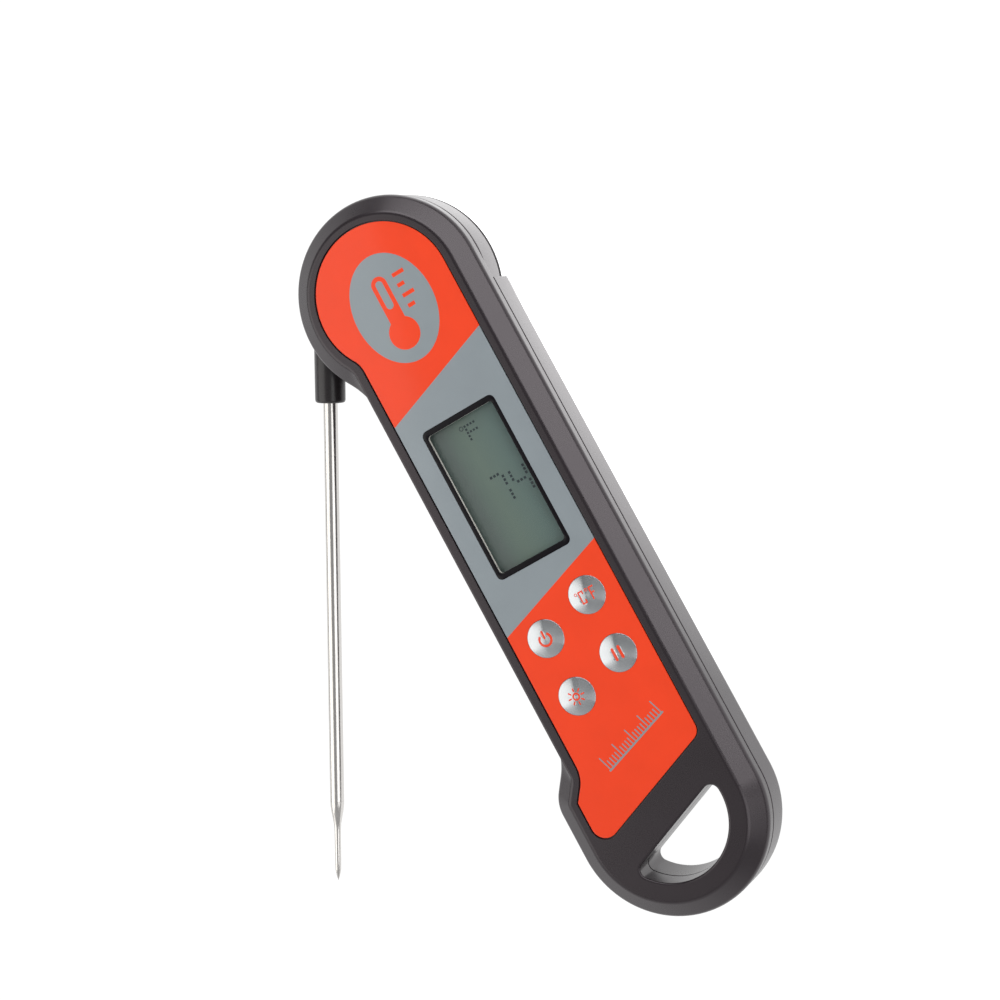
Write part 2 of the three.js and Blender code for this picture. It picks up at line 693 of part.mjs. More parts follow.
// From the sensor up through the tube, round inside the hub and up the journal's bore.
function probeLead() {
  const route = [
    [-PROBE_OFFSET, -120.8, PROBE_Z],
    [-PROBE_OFFSET, -60, PROBE_Z],
    [-PROBE_OFFSET, -8, PROBE_Z],
    [-PROBE_OFFSET + 1, -2, PROBE_Z],
    [-10, 2.2, PROBE_Z],
    [-3, 1.4, 5.2],
    [0, 0, 7],
    [0, 0, 10],
    [0, 0, 12.9],
  ];
  return tubeAlong(route, 0.3, 34, 6);
}

function hubClip() {
  const open = 0.5;
  const outer = arc(0, 0, JOURNAL_RADIUS + 1.2, open, 2 * Math.PI - open, 30);
  const inner = arc(0, 0, JOURNAL_RADIUS - 0.5, 2 * Math.PI - open, open, 30);
  return extrude([...outer, ...inner], 12.05, 12.55);
}

function waveWasher() {
  const geometry = ring(JOURNAL_RADIUS + 0.15, JOURNAL_RADIUS + 1.6, 11.5, 11.7, 36);
  const position = geometry.attributes.position;
  for (let i = 0; i < position.count; i++) {
    const wave = 0.12 * Math.sin(3 * Math.atan2(position.getY(i), position.getX(i)));
    position.setZ(i, position.getZ(i) + wave);
  }
  return geometry;
}

const hubSeal = () => torus(9.7, 0.4, 9.35);
const hubBush = () => ring(JOURNAL_RADIUS + 0.05, JOURNAL_RADIUS + 1.1, PLATE_Z, PLATE_TOP_Z);

function hingePlate() {
  const plate = ring(JOURNAL_RADIUS + 1.15, PLATE_RADIUS, PLATE_Z, PLATE_TOP_Z, 40);
  const spots = spread(3, PLATE_SCREW_RADIUS, Math.PI / 2);
  const holes = spots.map(([x, y]) => solid(cylinder(SCREW_RADIUS + 0.2, PLATE_Z - OVER, PLATE_TOP_Z + OVER, x, y, 8)));
  const headHoles = spots.map(([x, y]) => solid(cylinder(SCREW_HEAD_RADIUS + 0.2, PLATE_Z - OVER, 10.55, x, y, 8)));
  return cut(solid(plate), ...holes, ...headHoles);
}

// ---------------------------------------------------------------- fasteners
// A pan-head screw driven upwards, with the underside of its head at headZ.
function screw(x, y, headZ, headHeight, length) {
  const profile = [
    [0, headZ - headHeight],
    [SCREW_HEAD_RADIUS * 0.7, headZ - headHeight],
    [SCREW_HEAD_RADIUS, headZ - headHeight * 0.4],
    [SCREW_HEAD_RADIUS, headZ],
    [SCREW_RADIUS, headZ],
    [SCREW_RADIUS, headZ + length - 0.8],
    [0, headZ + length],
  ];
  return turned(profile, 10).translate(x, y, 0);
}

// ---------------------------------------------------------------- assembly
const thermometer = new THREE.Group();
const casing = new THREE.Group();
const probeArm = new THREE.Group();
thermometer.add(casing, probeArm);
probeArm.rotation.z = -PROBE_OPEN;

place("front_shell", frontShell(), charcoal, casing);
place("rear_shell", rearShell(), charcoal, casing);
place("overlay", overlay(), orangeFilm, casing);
place("display_bezel", displayBezel(), blackInk, casing);
place("display_window", displayWindow(), clearLens, casing);
place("lcd_frame", lcdFrame(), whitePlastic, casing);
place("lcd_panel", lcdPanel(), displayGlass, casing);
place("backlight_plate", backlightPlate(), whitePlastic, casing);
place("lcd_connector", lcdConnector(), sealRubber, casing);
place("main_board", mainBoard(), boardGreen, casing);
place("bonded_chip", bondedChip(), chipBlack, casing);
for (const [name, [x, y]] of Object.entries(BUTTONS)) {
  place("button_" + name, button().translate(x, y, 0), silverPaint, casing);
  place("switch_" + name, pushSwitch(x, y), blackInk, casing);
}
place("coin_cell", coinCell(), cellSteel, casing);
place("battery_holder", batteryHolder(), darkPlastic, casing);
place("contact_negative", contactNegative(), springSteel, casing);
place("contact_positive", contactPositive(), springSteel, casing);
place("battery_door", batteryDoor(), charcoal, casing);
place("door_seal", doorSeal(), sealRubber, casing);
place("board_lead", boardLead(), wireCoat, casing);
place("hinge_plate", hingePlate(), naturalPlastic, casing);
place("hub_bush", hubBush(), naturalPlastic, casing);
CASE_SCREWS.forEach(([x, y], i) => place(`case_screw_${i + 1}`, screw(x, y, 1.45, 1, 10.8), screwSteel, casing));
spread(3, PLATE_SCREW_RADIUS, Math.PI / 2).forEach(([x, y], i) =>
  place(`plate_screw_${i + 1}`, screw(x, y, 10.5, 0.6, 3), screwSteel, casing)
);

place("hub_shell", hubShell(), charcoal, probeArm);
place("hub_cover", hubCover(), charcoal, probeArm);
place("hub_seal", hubSeal(), sealRubber, probeArm);
place("hub_wave_washer", waveWasher(), springSteel, probeArm);
place("hub_clip", hubClip(), springSteel, probeArm);
spread(3, HUB_SCREW_RADIUS, 0).forEach(([x, y], i) =>
  place(`hub_screw_${i + 1}`, screw(x, y, 0.88, 0.7, 6), screwSteel, probeArm)
);
place("probe_collar", probeCollar(), darkPlastic, probeArm);
place("probe_tube", probeTube(), stainless, probeArm);
place("probe_tip", probeTip(), stainless, probeArm);
place("temperature_sensor", temperatureSensor(), chipBlack, probeArm);
place("probe_lead", probeLead(), wireCoat, probeArm);

export default thermometer;
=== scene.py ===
import json
import math
from typing import NamedTuple

import bmesh
import bpy
from mathutils import Matrix, Vector
from mathutils.geometry import delaunay_2d_cdt


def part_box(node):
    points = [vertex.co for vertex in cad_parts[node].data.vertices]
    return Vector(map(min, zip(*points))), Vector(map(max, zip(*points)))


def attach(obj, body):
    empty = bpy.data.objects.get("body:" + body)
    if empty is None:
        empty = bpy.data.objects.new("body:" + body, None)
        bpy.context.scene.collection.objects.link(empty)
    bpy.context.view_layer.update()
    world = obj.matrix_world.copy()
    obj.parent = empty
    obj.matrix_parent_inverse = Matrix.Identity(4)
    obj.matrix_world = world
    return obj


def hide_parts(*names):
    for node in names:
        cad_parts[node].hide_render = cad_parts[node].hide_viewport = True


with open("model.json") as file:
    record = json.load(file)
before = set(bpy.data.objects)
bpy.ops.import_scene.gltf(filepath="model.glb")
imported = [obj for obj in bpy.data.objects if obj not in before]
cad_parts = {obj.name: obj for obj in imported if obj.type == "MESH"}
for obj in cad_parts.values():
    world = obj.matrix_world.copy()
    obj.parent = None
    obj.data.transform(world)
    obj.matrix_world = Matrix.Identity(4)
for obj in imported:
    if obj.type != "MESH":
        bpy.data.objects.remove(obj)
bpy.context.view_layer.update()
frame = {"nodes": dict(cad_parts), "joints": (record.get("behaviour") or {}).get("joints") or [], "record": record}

MM = 0.001
TURN = 2 * math.pi
QUARTER = math.pi / 2
OVER = 1.0  # how far a cutter passes the face it cuts
INK_LIFT = 0.012  # how far the display's dots stand off its glass


# ----- places taken from the frame
def low(node):
    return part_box(node)[0] / MM


def high(node):
    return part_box(node)[1] / MM


def middle(node):
    return (low(node) + high(node)) / 2


def spot(node):
    return middle(node).x, middle(node).y


HALF_WIDTH = high("front_shell").x
FRONT_Z = high("front_shell").z
FOOT_Y = low("front_shell").y + HALF_WIDTH
FRONT_BASE = low("front_shell").z
REAR_TOP = high("rear_shell").z
FILM_TOP = high("overlay").z
FILM_BASE = low("overlay").z
BUTTONS = {name: spot("button_" + name) for name in ("unit", "power", "hold", "light")}
CASE_SCREWS = [spot(f"case_screw_{i}") for i in range(1, 7)]
PLATE_SCREWS = [spot(f"plate_screw_{i}") for i in range(1, 4)]
HUB_SCREWS = [spot(f"hub_screw_{i}") for i in range(1, 4)]
DOOR = spot("battery_door")
DOOR_RADIUS = high("battery_door").x - DOOR[0]
DISPLAY = spot("display_bezel")
DISPLAY_SIZE = (high("display_bezel") - low("display_bezel")).xy
FOLD = next(j for j in frame["joints"] if j["name"] == "probe_fold")
OPEN_ANGLE = -math.radians(FOLD["range_deg"][0])  # how far the probe stands open at rest

# ----- driving dimensions
BEVEL_Z = 12.8
BEVEL_WIDTH = 3.7
WALL = 1.7
CEILING_Z = 14.2
FLOOR_Z = 1.8
LIP = 0.15  # rounding beside the seam
SHARP = math.radians(32)  # edges that turn by more stay sharp
BACK_ROUND = 2.3
NOTCH = math.radians(37.7)
HUB_HOLE = 21.7  # where the rear shell gives way to the hub
HUB_RADIUS = 20.8
HUB_EDGE = HUB_RADIUS - 0.03  # the turning wall, a hair inside the casing's outline
LOOP_RADIUS = 13
LOOP_SLOPE = math.radians(22.5)
LOOP_DROP = 1.77
LOOP_CORNER = 1.8
VIEW_SIZE = (16.1, 32)
BUTTON_RADIUS = 4
BUTTON_GAP = 0.03  # between a cap and the film round it, and the rise of the cap's rim over the film
BOSS_RADIUS = 2.2  # the posts that take the screws
PILOT_RADIUS = 1  # the holes in them
PROBE_OFFSET = 17.1
PROBE_Z = 4.9
PROBE_RADIUS = 1.55
TUBE_END = 109.5
PROBE_END = 127.3
COLLAR_END = 23
COLLAR_RADIUS = 3.3
BORDER_SLOPE = 0.347  # tilt of the lines between the film's colours
UPPER_BORDER = -20.6  # where they cross x = 0
LOWER_BORDER = -69.75
READING = (-1.36, -4.35)  # lower left corner of the figures, from the display's middle
FIGURE_PITCH = 4.9
FIGURE_STEP = 0.83  # from dot to dot in the figures
DOT_SIZE = 0.55
SCALE_SIGN = (-0.29, 14.22)  # upper left corner of the scale's sign, from the display's middle
SIGN_STEP = 0.74
SEAM_EASE = 0.13  # how far each side of a seam is drawn back from its CAD face
DOOR_NECK = 11  # radius of the battery door above its face
DOOR_TOP = 2.6
DOOR_GAP = 0.3  # round the door's face and its neck
DOOR_TURN = math.radians(45)
TAB_RADIUS = 12.4  # reach of the three tabs that hold the door
TAB_HALF = math.radians(12)
LOCK_RADIUS = 15  # of the marks beside the battery door
MARK_DEPTH = 0.12

# ----- camera and studio, in metres
CAMERA_PLACE = (0.178313, -0.082965, 0.496515)
CAMERA_TURN = (-6.5931, 19.5329, -30.1173)  # degrees
CAMERA_LENS = 90.478
BRIGHT_SIDE = (-0.64, -0.77, 0)  # where the sky is lightest
LIGHT_CENTRE = (0, -0.06, 0)
LIGHT_DISTANCE = 0.75
FLOOR_HALF = 3.0
FLOOR_DROP = 0.0004
POOL_PLACE = (0.0205, -0.016, 0)
POOL_REACH = (0.015, 0.09, 1)
POOL_GLOW = 2.95


# ----- curves
def arc(x, y, radius, start, end, steps):
    angles = [start + (end - start) * i / steps for i in range(steps + 1)]
    return [(x + radius * math.cos(a), y + radius * math.sin(a)) for a in angles]


def circle(x, y, radius, steps):
    return arc(x, y, radius, 0, TURN, steps)[:-1]


def bend(start, corner, end, steps=4):
    """A smooth turn from start to end that leans towards the corner between them."""
    shares = [i / steps for i in range(steps + 1)]
    return [
        tuple(a * (1 - t) ** 2 + 2 * b * t * (1 - t) + c * t * t for a, b, c in zip(start, corner, end))
        for t in shares
    ]


def between(first, second, share):
    return [(ax + (bx - ax) * share, ay + (by - ay) * share) for (ax, ay), (bx, by) in zip(first, second)]


def moved(points, x, y, angle=0.0, scale=1.0):
    c, s = math.cos(angle) * scale, math.sin(angle) * scale
    return [(x + c * px - s * py, y + s * px + c * py) for px, py in points]


def inside(points, x, y):
    found = False
    for (ax, ay), (bx, by) in zip(points, points[1:] + points[:1]):
        if (ay > y) != (by > y) and x < (bx - ax) * (y - ay) / (by - ay) + ax:
            found = not found
    return found


# ----- outlines of the case
class Outline(NamedTuple):
    """Round head, straight right side, round foot, and a waist on the left between two fillets."""

    radius: float
    waist: float
    head_fillet: float
    slope_y: float
    slope_fillet: float
    foot_fillet: float

    def inset(self, by):
        return Outline(
            self.radius - by,
            self.waist + by,
            self.head_fillet + by,
            self.slope_y - by * math.tan(NOTCH / 2),
            self.slope_fillet + by,
            max(self.foot_fillet - by, 0.2),
        )

    def head(self, y=0.0):
        x = self.waist - self.head_fillet
        fillet_y = y - math.sqrt((self.radius + self.head_fillet) ** 2 - x * x)
        meeting = math.atan2(fillet_y - y, x) + TURN
        round_head = arc(0, y, self.radius, 0, meeting, 84)
        return round_head + arc(x, fillet_y, self.head_fillet, meeting - math.pi, 0, 12)[1:]

    def slope(self):
        half = math.tan(NOTCH / 2)
        corner_y = self.slope_y - (self.waist + self.radius) / math.tan(NOTCH)
        upper = (self.waist - self.slope_fillet, self.slope_y + self.slope_fillet * half)
        lower = (self.foot_fillet - self.radius, corner_y - self.foot_fillet * half)
        return arc(*upper, self.slope_fillet, 0, -NOTCH, 10) + arc(
            *lower, self.foot_fillet, math.pi - NOTCH, math.pi, 10
        )

    def points(self):
        return self.head() + self.slope() + arc(0, FOOT_Y, self.radius, math.pi, TURN, 64)


def border_ends(left, right):
    """Where the two lines between the film's colours meet x = left and x = right, going round."""
    corners = ((left, UPPER_BORDER), (left, LOWER_BORDER), (right, LOWER_BORDER), (right, UPPER_BORDER))
    return [(x, border + BORDER_SLOPE * x) for x, border in corners]


BODY = Outline(HALF_WIDTH, -14.2, 20, -100.25, 14, 8)
FACE = Outline(HALF_WIDTH - BEVEL_WIDTH, -13.9, 5, -105.8, 2.5, 1.8)


def face_ring(depth):
    """The outline at a distance in from the side wall: over the bevel first, then over the flat border."""
    if depth <= BEVEL_WIDTH:
        return between(BODY.points(), FACE.points(), depth / BEVEL_WIDTH)
    return FACE.inset(depth - BEVEL_WIDTH).points()


FILM = Outline(15.2, -11.72, 6, -106, 7, 0.2)
FILM_END_Y = -114.92  # where the film's slanted lower edge crosses x = 0
FILM_END_SLOPE = math.radians(21.87)


def film_outline(grow):
    o = FILM.inset(-grow)
    end_y = FILM_END_Y - grow / math.cos(FILM_END_SLOPE)
    down = FILM_END_SLOPE - QUARTER
    left_corner, right_corner = 3 + grow, 2.5 + grow
    slant = math.tan(FILM_END_SLOPE)
    left_y = end_y - o.radius * slant + left_corner * math.tan((QUARTER + FILM_END_SLOPE) / 2)
    right_y = end_y + o.radius * slant + right_corner * math.tan((QUARTER - FILM_END_SLOPE) / 2)
    borders = border_ends(o.waist, o.radius)
    return [
        *o.head(0.15),
        *borders[:2],
        *o.slope(),
        *arc(left_corner - o.radius, left_y, left_corner, math.pi, TURN + down, 14),
        *arc(o.radius - right_corner, right_y, right_corner, down, 0, 12),
        *borders[2:],
    ]


def loop_outline(grow):
    """The hanging loop: a circle about the foot's centre, cut off by a slanted flat side."""
    radius, corner = LOOP_RADIUS + grow, LOOP_CORNER + grow
    drop = LOOP_DROP - grow + corner
    along = math.sqrt((radius - corner) ** 2 - drop * drop)
    dip = math.atan2(drop, along)
    c, s = math.cos(LOOP_SLOPE), math.sin(LOOP_SLOPE)
    right = (along * c + drop * s, FOOT_Y + along * s - drop * c)
    left = (-along * c + drop * s, FOOT_Y - along * s - drop * c)
    left_end = LOOP_SLOPE + math.pi + dip
    right_end = LOOP_SLOPE - dip
    flat = LOOP_SLOPE + QUARTER
    return [
        *arc(0, FOOT_Y, radius, left_end, right_end + TURN, 56),
        *arc(*right, corner, right_end, flat, 10)[1:],
        *arc(*left, corner, flat, left_end, 10)[:-1],
    ]


def rounded_box(x, y, width, height, corner, steps=8):
    right, left = x + width / 2 - corner, x - width / 2 + corner
    top, bottom = y + height / 2 - corner, y - height / 2 + corner
    corners = [(right, top), (left, top), (left, bottom), (right, bottom)]
    return [p for i, c in enumerate(corners) for p in arc(*c, corner, i * QUARTER, (i + 1) * QUARTER, steps)]


def display_outline(grow=0.0):
    width, height = DISPLAY_SIZE.x + 0.1 + 2 * grow, DISPLAY_SIZE.y + 0.1 + 2 * grow
    return rounded_box(*DISPLAY, width, height, 1.3 + grow)


def view_outline(grow=0.0):
    return rounded_box(*DISPLAY, VIEW_SIZE[0] + 2 * grow, VIEW_SIZE[1] + 2 * grow, 0.8 + grow)


# ----- solids
def new_object(name, verts, faces, slots=None):
    mesh = bpy.data.meshes.new(name)
    mesh.from_pydata(verts, [], faces)
    if slots:
        mesh.polygons.foreach_set("material_index", slots)
    piece = bpy.data.objects.new(name, mesh)
    bpy.context.scene.collection.objects.link(piece)
    return piece


def bands(rings, count, closed=False):
    faces = []
    for ring in range(rings if closed else rings - 1):
        a, b = ring * count, ((ring + 1) % rings) * count
        faces += [(a + i, a + (i + 1) % count, b + (i + 1) % count, b + i) for i in range(count)]
    return faces


def loft(layers):
    """A closed solid through outlines of equal length, each with its height, lowest first."""
    count = len(layers[0][0])
    verts = [(x, y, z) for outline, z in layers for x, y in outline]
    top = (len(layers) - 1) * count
    lids = [tuple(reversed(range(count))), tuple(range(top, top + count))]
    return new_object("solid", verts, bands(len(layers), count) + lids)


def extrude(outline, z0, z1):
    return loft([(outline, z0), (outline, z1)])


def box(x0, x1, y0, y1, z0, z1):
    return extrude([(x0, y0), (x1, y0), (x1, y1), (x0, y1)], z0, z1)


def flared(outline, z0, z1, low_lip, high_lip=0.0):
    """A cutter for outline(grow) that widens at its ends, so that the edges it leaves are rounded."""
    layers = []
    if low_lip:
        layers += [(outline(low_lip), z0 - OVER)]
        layers += [(outline(g), z0 + h) for g, h in bend((low_lip, 0), (0, 0), (0, low_lip))]
    else:
        layers += [(outline(0), z0)]
    if high_lip:
        layers += [(outline(g), z1 - h) for g, h in bend((0, high_lip), (0, 0), (high_lip, 0))]
        layers += [(outline(high_lip), z1 + OVER)]
    else:
        layers += [(outline(0), z1)]
    return loft(layers)


def hole(x, y, radius, z0, z1, low_lip=0.0, high_lip=0.0, steps=48):
    return flared(lambda grow: circle(x, y, radius + grow, steps), z0, z1, low_lip, high_lip)


def holes(places, *sizes, **more):
    return [hole(*place, *sizes, **more) for place in places]


def turned(profile, steps=96):
    """A solid turned about Z from [radius, z] points that start and end on the axis, or come back round."""
    rim = [(r, z) for r, z in profile if r > 0]
    verts = [(r * x, r * y, z) for r, z in rim for x, y in circle(0, 0, 1, steps)]
    if len(rim) == len(profile):
        return new_object("solid", verts, [tuple(reversed(f)) for f in bands(len(rim), steps, True)])
    faces = bands(len(rim), steps)
    for (_, z), ring in ((profile[0], 0), (profile[-1], (len(rim) - 1) * steps)):
        centre = len(verts)
        verts.append((0, 0, z))
        faces += [(centre, ring + i, ring + (i + 1) % steps) for i in range(steps)]
    return new_object("solid", verts, faces)


def outward(piece, merge=0.0):
    """Turns the faces outwards, after points closer than merge have become one."""
    work = bmesh.new()
    work.from_mesh(piece.data)
    if merge:
        bmesh.ops.remove_doubles(work, verts=work.verts, dist=merge)
        stray = [vert for vert in work.verts if not vert.link_faces]
        bmesh.ops.delete(work, geom=stray, context="VERTS")
    bmesh.ops.recalc_face_normals(work, faces=work.faces)
    work.to_mesh(piece.data)
    work.free()
    return piece


def combine(first, operation, *others):
    """first joined with, cut by or cut down to the others, which are used up."""
    for other in others:
        outward(other)
        step = first.modifiers.new("step", "BOOLEAN")
        step.operation = operation
        step.solver = "MANIFOLD"
        step.object = other
    outward(first)
    done = first.evaluated_get(bpy.context.evaluated_depsgraph_get())
    mesh = bpy.data.meshes.new_from_object(done)
    first.modifiers.clear()
    first.data = mesh
    for other in others:
        bpy.data.objects.remove(other)
    return first


def cut(first, *others):
    return combine(first, "DIFFERENCE", *others)


def join(first, *others):
    return combine(first, "UNION", *others)


def copy_of(piece):
    twin = bpy.data.objects.new(piece.name, piece.data.copy())
    bpy.context.scene.collection.objects.link(twin)
    return twin


def finished(piece, name, body, materials, replaces=()):
    """Scales a shape to metres, smooths it, gives it its materials, hangs it on its body's empty and hides the CAD
    nodes it replaces.
    """
    outward(piece, 1e-4)
    piece.name = name
    piece.data.name = name
    piece.data.transform(Matrix.Scale(MM, 4))
    chosen = [face.material_index for face in piece.data.polygons]
    piece.data.materials.clear()
    for material in materials:
        piece.data.materials.append(material)
    piece.data.polygons.foreach_set("material_index", chosen if len(materials) > 1 else [0] * len(chosen))
    piece.data.shade_smooth()
    piece.data.set_sharp_from_angle(angle=SHARP)
    weighted = piece.modifiers.new("flat faces lead", "WEIGHTED_NORMAL")
    weighted.keep_sharp = True
    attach(piece, body)
    if replaces:
        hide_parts(*replaces)


def stand_in(node, piece, body, slot, *more):
    """A piece in its slot's material, and any more that it has, in place of one CAD node."""
    finished(piece, node + "_form", body, [FINISH[slot], *more], [node])


# ----- printed and split surfaces
def patch(outer, holes, marks, height, loose=()):
    """Triangles over outer less its holes. A mark is (loops that print, loops left out of them), and
    the slot of each triangle is the first mark's number that covers it, from 1, or 0."""
    loops = [outer, *holes, *[loop for printed, spared in marks for loop in printed + spared]]
    flat = [Vector(p) for loop in loops for p in loop] + [Vector(p) for p in loose]
    edges, first = [], 0
    for loop in loops:
        edges += [(first + i, first + (i + 1) % len(loop)) for i in range(len(loop))]
        first += len(loop)
    points, _, triangles, *_ = delaunay_2d_cdt(flat, edges, [], 0, 1e-5)
    faces, slots = [], []
    for a, b, c in triangles:
        x, y = (points[a] + points[b] + points[c]) / 3
        if not inside(outer, x, y) or any(inside(h, x, y) for h in holes):
            continue
        slot = 0
        for number, (printed, spared) in enumerate(marks, 1):
            if any(inside(p, x, y) for p in printed) and not any(inside(s, x, y) for s in spared):
                slot = number
                break
        faces.append((a, b, c))
        slots.append(slot)
    return [(p.x, p.y, height(p.x, p.y)) for p in points], faces, slots


def bar(x0, y0, x1, y1, width, cap=0):
    """A stroke with square ends, or round ones of cap steps."""
    angle = math.atan2(y1 - y0, x1 - x0)
    half = width / 2
    if cap:
        return arc(x1, y1, half, angle - QUARTER, angle + QUARTER, cap) + arc(
            x0, y0, half, angle + QUARTER, angle + 3 * QUARTER, cap
        )
    dx, dy = half * math.sin(angle), half * math.cos(angle)
    return [(x0 + dx, y0 - dy), (x1 + dx, y1 - dy), (x1 - dx, y1 + dy), (x0 - dx, y0 + dy)]


def ring_mark(x, y, radius, width, steps):
    return [circle(x, y, radius + width / 2, steps)], [circle(x, y, radius - width / 2, steps)]


def band_mark(x, y, radius, width, start, end, steps=24):
    return arc(x, y, radius + width / 2, start, end, steps) + arc(x, y, radius - width / 2, end, start, steps)


def merged(marks, x=0.0, y=0.0, angle=0.0, scale=1.0):
    """Several marks as one, moved into place."""
    printed = [moved(loop, x, y, angle, scale) for p, _ in marks for loop in p]
    spared = [moved(loop, x, y, angle, scale) for _, s in marks for loop in s]
    return printed, spared


def thermometer_mark():
    """A stem with a bulb, and scale marks beside it."""
    stem = bar(0, -3.2, 0, 5.4, 3.2, 12)
    bulb = circle(0, -4.6, 3.1, 36)
    clear_stem = bar(0, 1.2, 0, 5.4, 1.5, 10)
    ticks = [bar(3.1, y, 5.6 if i % 2 == 0 else 4.6, y, 0.75) for i, y in enumerate((5.6, 3.5, 1.4, -0.7))]
    return [stem, bulb, *ticks], [clear_stem]


def scale_mark():
    """A plain graduated scale, in line with the film's slanted edge."""
    base = bar(-8.6, -1.6, 8.6, -1.6, 0.4)
    heights = [3.4 if i % 5 == 0 else 1.9 for i in range(21)]
    ticks = [bar(-8.2 + 0.82 * i, -1.6, -8.2 + 0.82 * i, -1.6 + h, 0.26) for i, h in enumerate(heights)]
    return [base, *ticks], []


STROKES = {
    "C": [(1, 0.78, 1, 1), (1, 1, 0, 1), (0, 1, 0, 0), (0, 0, 1, 0), (1, 0, 1, 0.22)],
    "F": [(0, 0, 0, 1), (0, 1, 1, 1), (0, 0.53, 0.8, 0.53)],
}


def letter(name, x, y, width, height, stroke):
    """The strokes of a narrow capital with its lower left corner at x, y."""
    ends = [(x + a * width, y + b * height, x + c * width, y + d * height) for a, b, c, d in STROKES[name]]
    return [bar(*points, stroke, 6) for points in ends]


def unit_mark():
    """The signs of the two temperature scales."""
    letters = letter("C", -1.4, -1.35, 0.9, 2.5, 0.32) + letter("F", 1.15, -1.35, 0.85, 2.5, 0.32)
    degrees = [ring_mark(-2.1, 1.0, 0.27, 0.15, 16), ring_mark(0.42, 1.0, 0.27, 0.15, 16)]
    return [(letters, []), *degrees]


def power_mark():
    gap = math.radians(38)
    ring = band_mark(0, -0.15, 1.3, 0.5, QUARTER + gap, QUARTER + TURN - gap)
    return [([ring, bar(0, 0.2, 0, 1.65, 0.46, 6)], [])]


def hold_mark():
    """Two upright bars, the everyday sign for pause: this key keeps the reading on show."""
    return [([bar(x, -1.15, x, 1.15, 0.62, 6) for x in (-0.72, 0.72)], [])]


def light_mark():
    ends = zip(circle(0, 0, 1.2, 8), circle(0, 0, 1.75, 8))
    rays = [bar(*start, *end, 0.32, 6) for start, end in ends]
    return [(rays, []), ring_mark(0, 0, 0.66, 0.36, 24)]


# ----- materials
def fill(node, **values):
    """Sets inputs of a node by their names, with _ for each space."""
    for name, value in values.items():
        node.inputs[name.replace("_", " ")].default_value = value
    return node


class Nodes:
    """A material's node tree, with short ways to add to it."""

    def __init__(self, name):
        self.material = bpy.data.materials.new(name)
        self.material.use_nodes = True
        self.tree = self.material.node_tree
        self.shader = self.tree.nodes["Principled BSDF"]
        self.place = self.add("ShaderNodeTexCoord").outputs["Object"]

    def add(self, kind, **values):
        node = self.tree.nodes.new(kind)
        for name, value in values.items():
            setattr(node, name, value)
        return node

    def link(self, output, target):
        self.tree.links.new(output, target)

    def noise(self, size, detail, stretch=(1, 1, 1)):
        """Noise whose features are about size millimetres."""
        mapping = fill(self.add("ShaderNodeMapping"), Scale=stretch)
        self.link(self.place, mapping.inputs["Vector"])
        noise = fill(self.add("ShaderNodeTexNoise"), Scale=1 / (size * MM), Detail=detail, Roughness=0.55)
        self.link(mapping.outputs["Vector"], noise.inputs["Vector"])
        return noise.outputs["Fac"]

    def spread(self, value, start, end, target=None):
        """value, from 0.3 to 0.7, spread over start to end."""
        spread = fill(self.add("ShaderNodeMapRange"), From_Min=0.3, From_Max=0.7, To_Min=start, To_Max=end)
        self.link(value, spread.inputs["Value"])
        if target:
            self.link(spread.outputs["Result"], target)
        return spread.outputs["Result"]

    def bump(self, height, distance):
        """Adds height, spread over distance millimetres, to the surface."""
        bump = fill(self.add("ShaderNodeBump"), Distance=distance * MM)
        normal = self.shader.inputs["Normal"]
        if normal.is_linked:
            self.link(normal.links[0].from_socket, bump.inputs["Normal"])
        self.link(height, bump.inputs["Height"])
        self.link(bump.outputs["Normal"], normal)

    def tint(self, value, first, second):
        mix = fill(self.add("ShaderNodeMix", data_type="RGBA"), A=(*first, 1), B=(*second, 1))
        self.link(value, mix.inputs["Factor"])
        self.link(mix.outputs["Result"], self.shader.inputs["Base Color"])

    def set(self, **values):
        fill(self.shader, **values)


def surface(name, colour, roughness, grain, height, vary=0.12, patchy=0.06, **values):
    """A finish with its own grain: fine relief, and colour and gloss that drift a little over the surface.
    With no colour, the base colour is left to the caller."""
    nodes = Nodes(name)
    nodes.set(**values)
    fine = nodes.noise(grain, 4)
    broad = nodes.noise(grain * 60, 3)
    if colour:
        darker = tuple(c * (1 - vary) for c in colour)
        lighter = tuple(min(c * (1 + vary), 1) for c in colour)
        nodes.tint(nodes.spread(broad, 0, 1), darker, lighter)
    blend = nodes.add("ShaderNodeMath", operation="ADD")
    nodes.link(nodes.spread(fine, roughness - patchy / 2, roughness + patchy / 2), blend.inputs[0])
    nodes.link(nodes.spread(broad, -patchy / 2, patchy / 2), blend.inputs[1])
    nodes.link(blend.outputs["Value"], nodes.shader.inputs["Roughness"])
    nodes.bump(fine, height)
    return nodes


def shell_plastic():
    """Charcoal ABS with the fine spark-eroded grain of a moulded case."""
    colour = (0.0145, 0.0105, 0.0132)
    nodes = surface("shell plastic", colour, 0.28, 0.22, 0.0006, vary=0.08, patchy=0.02, IOR=1.58)
    nodes.set(Specular_Tint=(1, 0.925, 0.965, 1))
    nodes.bump(nodes.noise(6.0, 2), 0.005)
    return nodes.material


def film(name, colour, metal):
    """Printed film: flat ink under a clear gloss face with a slight orange peel."""
    nodes = surface(name, colour, 0.34, 0.12, 0.0012, vary=0.025, patchy=0.05, Metallic=metal)
    nodes.set(Specular_IOR_Level=0.25, Coat_Weight=0.3, Coat_Roughness=0.06)
    nodes.bump(nodes.noise(2.5, 2), 0.003)
    return nodes.material


